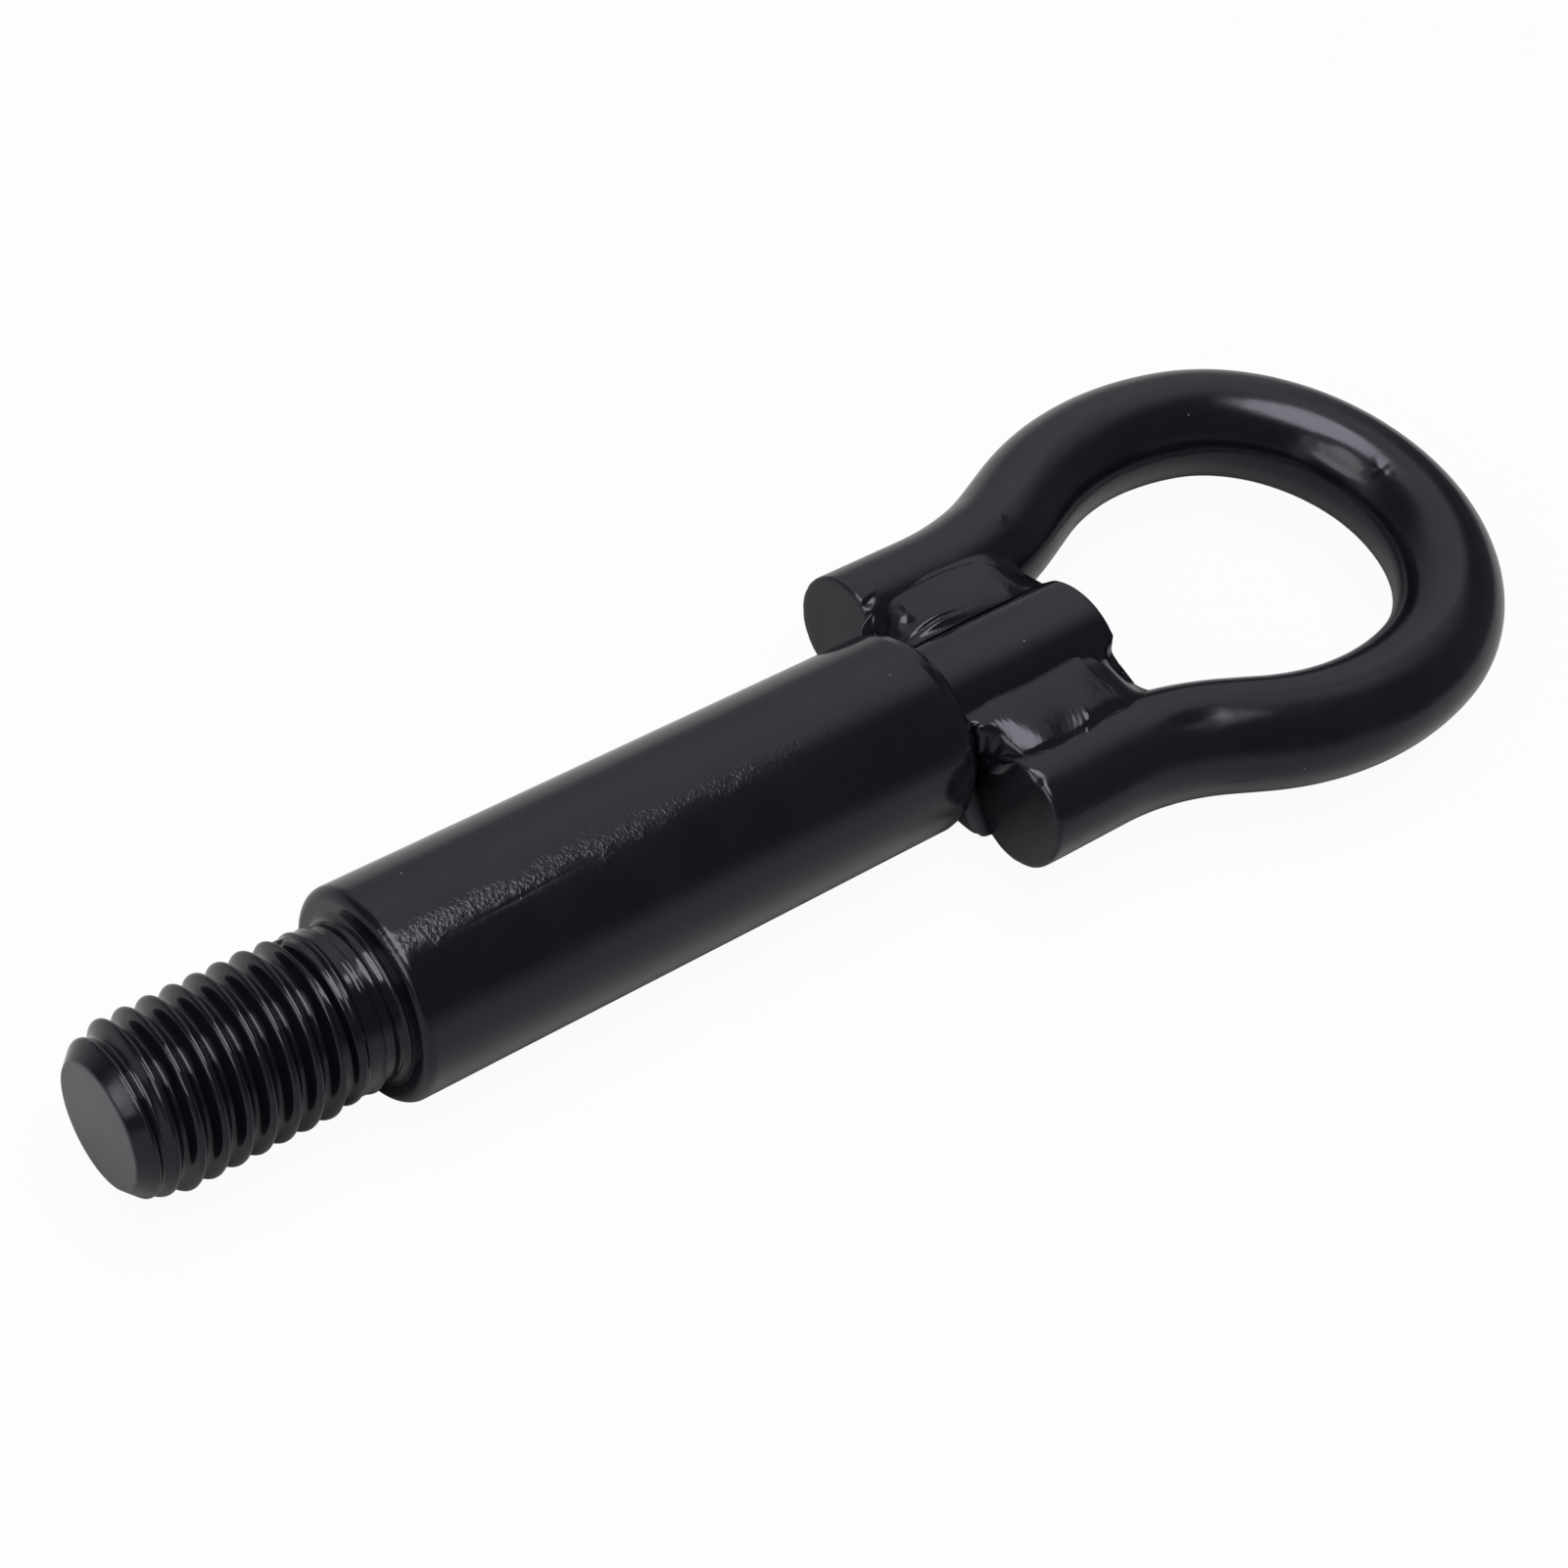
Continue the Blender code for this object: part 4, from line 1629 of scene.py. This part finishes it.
    def lift(self, station: np.ndarray, share: np.ndarray) -> np.ndarray:
        """Height of the top over the straight line between the toes.

        The crown is one less the fourth power of the distance from the middle.  The front
        slopes lower it, a second pass steps it up, and fine ripples that bow forward, lumps
        and bumps lie on it.  All of it is nil at the toes.

        Args:
            station: stations of the points.
            share: shares of the way from the leg to the spigot.

        Returns:
            The height in millimetres.
        """
        middle = 2.0 * share - 1.0
        inside = 1.0 - middle**8
        behind = station - self.start - self.slant * (1.0 - share)
        height = self.crown * (1.0 - middle**4) * smooth_step(share / self.leg_blend)
        drop = sum((slope.drop(behind) for slope in self.front), np.zeros_like(station))
        first, last = self.front_edge
        drop = drop * smooth_step((last - share) / (last - first))
        flat = np.stack([station, share * 8.0, station * 0.0], axis=-1)
        bowed = station + self.bow * middle**2 + 0.7 * lattice_noise(flat, 2.4, self.seed)
        uneven = 0.5 + 0.5 * lattice_noise(flat, 3.0, self.seed + 3)
        coarse, fine = self.ripple_steps
        waves = np.sin(TAU * bowed / coarse) + 0.4 * np.sin(TAU * bowed / fine)
        ripple = self.ripple * waves * uneven
        lumps = self.lump * lattice_noise(flat, 3.4, self.seed + 1)
        lumps = lumps + 0.010 * lattice_noise(flat, 0.9, self.seed + 2)
        if self.pass_edge:
            edge = np.interp(station, *zip(*self.pass_edge))
            height = height + self.pass_height * smooth_step((share - edge) / 0.10)
        detail = ripple + lumps + total_rise(self.bumps, station, share)
        return height + (detail - soft_least(drop, drop * 0.0 + self.deepest, 0.5)) * inside

    def points(
        self, frame: SolidFrame, eye: EyeBar, body: Body
    ) -> tuple[np.ndarray, dict[str, np.ndarray]]:
        """Grid of the bead, closed by a pole at its nose and its tail.

        Every row is a loop: up the leg's side, over the top and down the spigot's side.  At
        the nose the loops shrink towards a point in the spigot, as a quarter of a rounded
        square does, and at the tail by a power of the distance towards a point in the leg.

        Args:
            frame: where the solids stand.
            eye: the eye, whose legs the bead follows.
            body: the body, whose spigot it follows.

        Returns:
            The points, and where rust may show and where the paint is paler with spatter and
            painted light.
        """
        last = self.spigot_end + self.tail_length
        part = np.linspace(0.0, 1.0, self.rows)
        station = self.start + (last - self.start) * (part + 0.35 * part * (part - 1.0))
        toes = self.toes(station, eye, body)
        share = np.linspace(0.0, 1.0, self.top_columns) + station[:, None] * 0.0
        top_across, top_up = self.top(station[:, None] + share * 0.0, share, toes)
        loops = (
            (toes.leg_up * 0.0, share, toes.spigot_up * 0.0 + 1.0),
            (toes.leg_across, top_across, toes.spigot_across),
            (toes.leg_up, top_up, toes.spigot_up),
        )
        shares, across, up = (
            np.concatenate([leg[:, :-1], over, spigot[:, -2::-1], leg[:, :1]], axis=1)
            for leg, over, spigot in loops
        )
        nose = np.clip((station - self.start) / self.nose_length, 0.0, 1.0)[:, None]
        nose = (1.0 - (1.0 - nose) ** self.nose_power) ** (1.0 / self.nose_power)
        across = self.nose_pivot[0] + (across - self.nose_pivot[0]) * nose
        up = self.nose_pivot[1] + (up - self.nose_pivot[1]) * nose
        tail = np.clip((station - self.spigot_end) / self.tail_length, 0.0, 1.0)[:, None]
        tail = (1.0 - tail) ** self.tail_power
        hold = eye.leg_place(station)[0][:, None] + self.tail_pivot[0]
        across = hold + (across - hold) * tail
        up = self.tail_pivot[1] + (up - self.tail_pivot[1]) * tail
        forward = total_rise(self.ridges, station[:, None] + shares * 0.0, shares) * nose
        stations = station[:, None] - forward
        points = frame.place(stations, self.side.value * across, self.face.value * up)
        reach, fade = self.front_reach
        front = smooth_step((reach - stations) / fade)
        # The front is paled through the dull layer: spatter and painted light from the floor below.
        return points, {"rust": front, "dull": self.spatter_and_floor_light * front}

    def build(
        self, frame: SolidFrame, finish: PaintFinish, eye: EyeBar, body: Body
    ) -> bpy.types.Object:
        """Build and dress the bead.

        Args:
            frame: where the solids stand.
            finish: its paint.
            eye: the eye, whose legs the bead follows.
            body: the body, whose spigot it follows.

        Returns:
            The piece.
        """
        points, layers = self.points(frame, eye, body)
        piece = surface(self.name, points, layers)
        return dress(piece, finish, self.node)


def weld_beads() -> list[Bead]:
    """The four beads: two on top, shaped as they look, and two alike underneath.

    Returns:
        The beads.
    """
    top_right = Bead(
        name="bead_top_right",
        node="weld_top_right",
        side=Side.RIGHT,
        face=Face.TOP,
        leg_toe=(
            (69.2, 64), (72, 70), (74, 77), (77, 80), (81, 79), (84, 77), (87, 72), (90, 61),
            (92.3, 52),
        ),
        spigot_toe=(
            (69.2, 50), (74, 54), (80, 53), (86, 55), (88, 51), (90, 44), (91.3, 38),
            (92.3, 31),
        ),
        bumps=(
            Bump(79.0, 0.20, 1.9, 0.20, -0.34),
            Bump(81.9, 0.19, 0.30, 0.08, 0.16, 0.08),
            Bump(81.0, 0.05, 0.22, 0.04, 0.16),
            Bump(84.4, 0.09, 1.9, 0.08, -0.50),
            Bump(86.4, 0.95, 0.28, 0.05, 0.20),
            Bump(84.0, 0.62, 1.9, 0.28, 0.10),
        ),
        ridges=(
            Bump(70.2, 0.97, 1.2, 0.035, 0.28),
            Bump(70.6, 0.83, 1.2, 0.030, 0.20),
            Bump(71.0, 0.70, 1.2, 0.035, 0.22),
            Bump(71.4, 0.30, 1.5, 0.14, 0.22),
            Bump(70.4, 0.96, 1.7, 0.20, 0.85),
        ),
        start=70.15,
        nose_length=1.25,
        front=(FrontSlope(3.1, 0.43, 1.6), FrontSlope(1.3, 1.8, 0.30)),
        front_edge=(0.34, 0.68),
        slant=1.5,
        droop=1.15,
        crown=0.72,
        saddle=5.4,
        end_length=4.6,
        seed=31,
    )
    top_left = Bead(
        name="bead_top_left",
        node="weld_top_left",
        side=Side.LEFT,
        face=Face.TOP,
        leg_toe=((69.2, 50), (73, 66), (75, 74), (82, 75), (86, 73), (89, 68), (92.3, 54)),
        spigot_toe=((69.2, 58), (73, 54), (80, 52), (86, 52), (88, 49), (90, 45), (92.3, 40)),
        bumps=(
            Bump(70.9, 0.90, 1.0, 0.10, 0.55),
            Bump(76.3, 0.88, 2.6, 0.050, 0.50, 0.010),
            Bump(76.4, 0.76, 2.5, 0.045, 0.40, 0.012),
            Bump(74.6, 0.80, 1.5, 0.020, -0.16, 0.010),
            Bump(75.2, 0.34, 0.35, 0.07, 0.16),
            Bump(74.0, 0.55, 0.7, 0.10, -0.35),
            Bump(80.5, 0.55, 2.8, 0.35, 0.10),
        ),
        ridges=(Bump(71.0, 0.72, 1.2, 0.06, 0.25),),
        front=(FrontSlope(7.6, 0.20, 1.6), FrontSlope(2.6, 0.6, 0.8)),
        slant=2.4,
        crown=0.40,
        leg_blend=0.45,
        pass_edge=(
            (69, 0.0), (77, 0.05), (80, 0.08), (84, 0.09), (86, 0.13), (87.8, 0.30),
            (89.5, 0.43), (91, 0.58), (92, 0.8),
        ),
        pass_height=0.30,
        saddle=7.6,
        seed=47,
    )
    under = [
        Bead(
            name=f"bead_under_{side.name.lower()}",
            node=f"weld_under_{side.name.lower()}",
            side=side,
            face=Face.UNDER,
            leg_toe=((69.2, 66), (72, 70), (76, 72), (84, 72), (87, 70), (90, 62), (92.3, 53)),
            spigot_toe=((69.2, 54), (74, 54), (86, 52), (90, 47), (92.3, 42)),
            bumps=(
                Bump(74.5, 0.5, 1.6, 0.4, 0.20),
                Bump(79.0, 0.5, 1.2, 0.3, -0.12),
                Bump(83.0, 0.5, 2.0, 0.4, 0.12),
            ),
            slant=0.3,
            droop=0.4,
            # Pale fronts underneath: spatter and painted light from the floor below.
            spatter_and_floor_light=0.9,
            seed=61 + side.value,
        )
        for side in Side
    ]
    return [top_right, top_left, *under]


@dataclass(frozen=True)
class Card:
    """A grey card round the object: angles in degrees, radius in metres.

    Args:
        name: name of the card.
        turn: first and last compass angle, from the eye's direction over the left.
        rise: lowest and highest angle over the floor.
        grey: brightness of the card.
        radius: its distance.
        soft_start: angle over which its first side fades.
        soft_end: angle over which its last side fades.
        soft_foot: angle over which its foot fades.
        soft_top: angle over which its top fades.
    """

    name: str
    turn: tuple[float, float]
    rise: tuple[float, float]
    grey: float
    radius: float
    soft_start: float
    soft_end: float
    soft_foot: float
    soft_top: float


@dataclass
class Studio:
    """Pale floor, white surroundings, soft boxes, grey cards and the camera; metres here.

    Args:
        floor_half: half the width of the floor.
        fill: strength of the even light from all round.
        floor_pale: colour of the floor as it lights the object and takes its shadow.
        floor_white: share of plain white that the floor shows to camera and mirrored rays.
        sheet_grey: colour of the grey sheet on the floor.
        sheet_reach: its radius.
        sheet_soft: width of its fading rim.
        sheet_lift: its height over the floor.
        card_steps: columns and rows of a card's mesh.
        camera_place: place of the camera.
        camera_forward: direction that it looks in.
        camera_up: its upward direction.
        lens: its focal length in millimetres.
        cards: the grey cards.
    """

    floor_half: float = 9.0
    fill: float = 0.16
    floor_pale: float = 0.60
    floor_white: float = 0.95
    sheet_grey: float = 0.63
    sheet_reach: float = 1.75
    sheet_soft: float = 0.55
    sheet_lift: float = 0.0002
    card_steps: tuple[int, int] = (72, 48)
    camera_place: tuple[float, float, float] = (-0.187687, -0.148518, 0.263135)
    camera_forward: tuple[float, float, float] = (0.522104, 0.434533, -0.733886)
    camera_up: tuple[float, float, float] = (0.374436, 0.656335, 0.654997)
    lens: float = 77.339
    cards: tuple[Card, ...] = (
        Card("card_near", (-152.0, 28.0), (-20.0, 68.0), 0.165, 1.90, 14.0, 44.0, 40.0, 6.0),
        Card("card_ahead", (-60.0, 36.0), (-20.0, 46.0), 0.10, 1.94, 10.0, 16.0, 20.0, 10.0),
        Card("card_left", (84.0, 166.0), (-20.0, 66.0), 0.16, 1.86, 30.0, 24.0, 40.0, 8.0),
        Card("card_behind", (158.0, 214.0), (-6.0, 22.0), 0.20, 1.82, 12.0, 12.0, 12.0, 8.0),
        Card("card_far", (0.0, 120.0), (-20.0, 48.0), 0.42, 1.98, 24.0, 30.0, 20.0, 44.0),
    )

    def shows_white(self, bench: NodeBench) -> Socket:
        """1 for rays from the camera, and for mirrored and refracted rays; otherwise 0.

        Args:
            bench: bench of the floor's or the world's nodes.

        Returns:
            The share.
        """
        path = bench.add("ShaderNodeLightPath")
        seen = bench.maths("MAXIMUM", path.outputs["Is Camera Ray"], path.outputs["Is Glossy Ray"])
        return bench.maths("MAXIMUM", seen, path.outputs["Is Transmission Ray"])

    def build_floor(self) -> bpy.types.Object:
        """Level pale floor that looks white and keeps a faint shadow.

        Returns:
            The floor.
        """
        material, bench = new_material("pale_floor")
        pale = (self.floor_pale,) * 3
        matt = bench.add("ShaderNodeBsdfDiffuse", Color=(*pale, 1.0))
        white = bench.add("ShaderNodeEmission", Color=(1.0, 1.0, 1.0, 1.0), Strength=1.0)
        share = bench.maths("MULTIPLY", self.shows_white(bench), self.floor_white)
        bench.output(bench.shader_mix(share, matt, white))
        half = np.array([-self.floor_half, self.floor_half])
        corners = np.stack(np.broadcast_arrays(half[None, :], half[:, None], 0.0), axis=-1)
        mesh = grid_mesh("floor", corners, {})
        mesh.materials.append(material)
        floor = link_object("floor", mesh)
        return floor

    def build_world(self) -> None:
        """White surroundings, and a dimmer even fill for the light that they give."""
        world = bpy.data.worlds.new("studio")
        world.use_nodes = True
        bpy.context.scene.world = world
        bench = NodeBench(world.node_tree)
        fill = bench.add("ShaderNodeBackground", Color=(1.0, 1.0, 1.0, 1.0), Strength=self.fill)
        white = bench.add("ShaderNodeBackground", Color=(1.0, 1.0, 1.0, 1.0), Strength=1.0)
        mixed = bench.shader_mix(self.shows_white(bench), fill, white)
        bench.output(mixed, "ShaderNodeOutputWorld")

    def card_material(self, grey: float, matt: bool = False) -> bpy.types.Material:
        """Grey card whose edges fade out, so that its reflection has no hard line.

        Args:
            grey: brightness of the card, or its colour where it is matt.
            matt: whether the lamps light it and shadows fall on it; otherwise it glows evenly.

        Returns:
            The material, which reads the fade from the mesh's attribute "card".
        """
        material, bench = new_material("grey_card")
        kind = "ShaderNodeBsdfDiffuse" if matt else "ShaderNodeEmission"
        clear = bench.add("ShaderNodeBsdfTransparent")
        solid = bench.add(kind, Color=(grey, grey, grey, 1.0))
        bench.output(bench.shader_mix(bench.attribute("card"), clear, solid))
        return material

    def place_card(
        self, name: str, points: np.ndarray, fade: np.ndarray, material: bpy.types.Material
    ) -> bpy.types.Object:
        """Make a card from a grid of points, and show it to mirrored rays only.

        Args:
            name: name of the card.
            points: grid of its points, rows by columns by three.
            fade: how solid the card is at each point, rows by columns.
            material: its material.

        Returns:
            The card.
        """
        mesh = grid_mesh(name, points, {"card": fade})
        mesh.materials.append(material)
        piece = link_object(name, mesh)
        piece.visible_camera = False
        piece.visible_diffuse = False
        piece.visible_shadow = False
        return piece

    def build_sheet(self) -> bpy.types.Object:
        """Grey matt sheet on the floor round the object, which only mirrored rays see.

        The paint in the photo mirrors a grey floor, though the photo's background is white.

        Returns:
            The sheet: a disc whose rim fades out.
        """
        reach = np.linspace(0.0, self.sheet_reach, 48)[:, None]
        around = np.linspace(0.0, 2.0 * np.pi, 97)[None, :]
        points = np.stack(
            np.broadcast_arrays(reach * np.cos(around), reach * np.sin(around), self.sheet_lift),
            axis=-1,
        )
        fade = smooth_step((self.sheet_reach - reach) / self.sheet_soft)
        material = self.card_material(self.sheet_grey, matt=True)
        return self.place_card("sheet", points, fade, material)

    def build_card(self, card: Card) -> bpy.types.Object:
        """Curved card that only reflections show, as photographers hang beside gloss paint.

        The card is a patch of a sphere round the object, and fades over soft edges.

        Args:
            card: its place, size and grey.

        Returns:
            The card.
        """
        columns, rows = self.card_steps
        across = np.linspace(*card.turn, columns)[None, :]
        over = np.linspace(max(card.rise[0], 0.5), card.rise[1], rows)[:, None]
        flat = np.radians(over)
        around = np.radians(across)
        points = card.radius * np.stack(
            np.broadcast_arrays(
                np.cos(flat) * np.cos(around), np.cos(flat) * np.sin(around), np.sin(flat)
            ),
            axis=-1,
        )
        fade = window(across, card.turn[0], card.soft_start, card.turn[1], card.soft_end)
        fade = fade * window(over, card.rise[0], card.soft_foot, card.rise[1], card.soft_top)
        return self.place_card(card.name, points, fade, self.card_material(card.grey))

    def build_lamp(
        self,
        name: str,
        turn: float,
        rise: float,
        distance: float,
        size: tuple[float, float],
        level: float,
    ) -> bpy.types.Object:
        """Soft box that looks at the object.

        Args:
            name: name of the lamp.
            turn: its compass angle in degrees.
            rise: its angle over the floor.
            distance: its distance.
            size: its width and height.
            level: brightness of its face, where 1 is white.

        Returns:
            The lamp: its power is the level times pi times its area.
        """
        data = bpy.data.lights.new(name, "AREA")
        data.shape = "ELLIPSE"
        data.size, data.size_y = size
        area = math.pi * size[0] * size[1] / 4
        data.energy = level * math.pi * area
        lamp = link_object(name, data)
        flat, around = math.radians(rise), math.radians(turn)
        level_part = math.cos(flat)
        toward = Vector(
            (level_part * math.cos(around), level_part * math.sin(around), math.sin(flat))
        )
        lamp.location = toward * distance
        lamp.rotation_euler = toward.to_track_quat("Z", "Y").to_euler()
        lamp.visible_camera = False
        return lamp

    def build_camera(self) -> bpy.types.Object:
        """Camera at the photograph's place and roll.

        Returns:
            The camera.
        """
        data = bpy.data.cameras.new("camera")
        data.lens = self.lens
        data.sensor_width = 36.0
        data.clip_start = 0.01
        forward = Vector(self.camera_forward).normalized()
        up = Vector(self.camera_up).normalized()
        right = forward.cross(up).normalized()
        turned = Matrix((right, right.cross(forward), -forward)).transposed().to_4x4()
        camera = link_object("camera", data)
        camera.matrix_world = Matrix.Translation(self.camera_place) @ turned
        bpy.context.scene.camera = camera
        return camera

    def build(self) -> None:
        """Set up the whole studio."""
        self.build_floor()
        self.build_world()
        for card in self.cards:
            self.build_card(card)
        self.build_sheet()
        self.build_lamp("lamp_over", 0.0, 90.0, 1.2, (0.90, 0.90), 6.0)
        self.build_lamp("lamp_behind", 181.0, 35.0, 1.3, (0.95, 0.66), 3.2)
        self.build_camera()
        bpy.context.scene.view_settings.view_transform = "Standard"
        log.info("studio set up")


def paints() -> dict[str, PaintFinish]:
    """The paints: satin on the body and the eye, glossier on the stud and the welds.

    Returns:
        The paint of each kind of piece.
    """
    shank = PaintFinish(
        name="satin_black_shank",
        colour=(0.0036, 0.0036, 0.0076),
        bloom=(0.0052, 0.0051, 0.0094),
        roughness=0.135,
        uneven=0.025,
        peel=0.45,
        peel_depth=0.0030,
        wave_depth=0.012,
        specks=0.10,
        rust=0.6,
        blister_depth=0.014,
    )
    stud = PaintFinish(
        name="gloss_black_stud",
        colour=(0.0032, 0.0032, 0.0058),
        bloom=(0.0046, 0.0045, 0.0076),
        roughness=0.095,
        uneven=0.025,
        peel=0.40,
        peel_depth=0.0025,
        wave_depth=0.010,
        specks=0.06,
        dull=(0.047, 0.044, 0.052),
    )
    eye = PaintFinish(
        name="satin_black_eye",
        colour=(0.0036, 0.0036, 0.0076),
        bloom=(0.0054, 0.0053, 0.0096),
        roughness=0.19,
        uneven=0.03,
        peel=0.5,
        peel_depth=0.0035,
        wave_depth=0.014,
        specks=0.05,
        rust=0.6,
        dull=(0.058, 0.058, 0.053),
        flow_depth=0.010,
    )
    weld = PaintFinish(
        name="gloss_black_weld",
        colour=(0.0038, 0.0038, 0.0076),
        bloom=(0.0054, 0.0052, 0.0094),
        roughness=0.22,
        uneven=0.04,
        peel=0.35,
        peel_depth=0.006,
        wave_depth=0.02,
        specks=0.10,
        rust=0.5,
        dull=(0.044, 0.043, 0.050),
    )
    return {"shank": shank, "stud": stud, "eye": eye, "weld": weld}


def main() -> None:
    """Load the solids, build and dress every piece, and set up the studio."""
    logging.basicConfig(level=logging.INFO, format="%(message)s")
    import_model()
    stud = Stud()
    frame = SolidFrame.from_solids(stud.length)
    paint = paints()
    body = Body()
    eye = EyeBar()
    stud.build(frame, paint["stud"])
    body.build(frame, paint["shank"])
    eye.build(frame, paint["eye"])
    for bead in weld_beads():
        bead.build(frame, paint["weld"], eye, body)
    Studio().build()


if __name__ == "__main__":
    main()
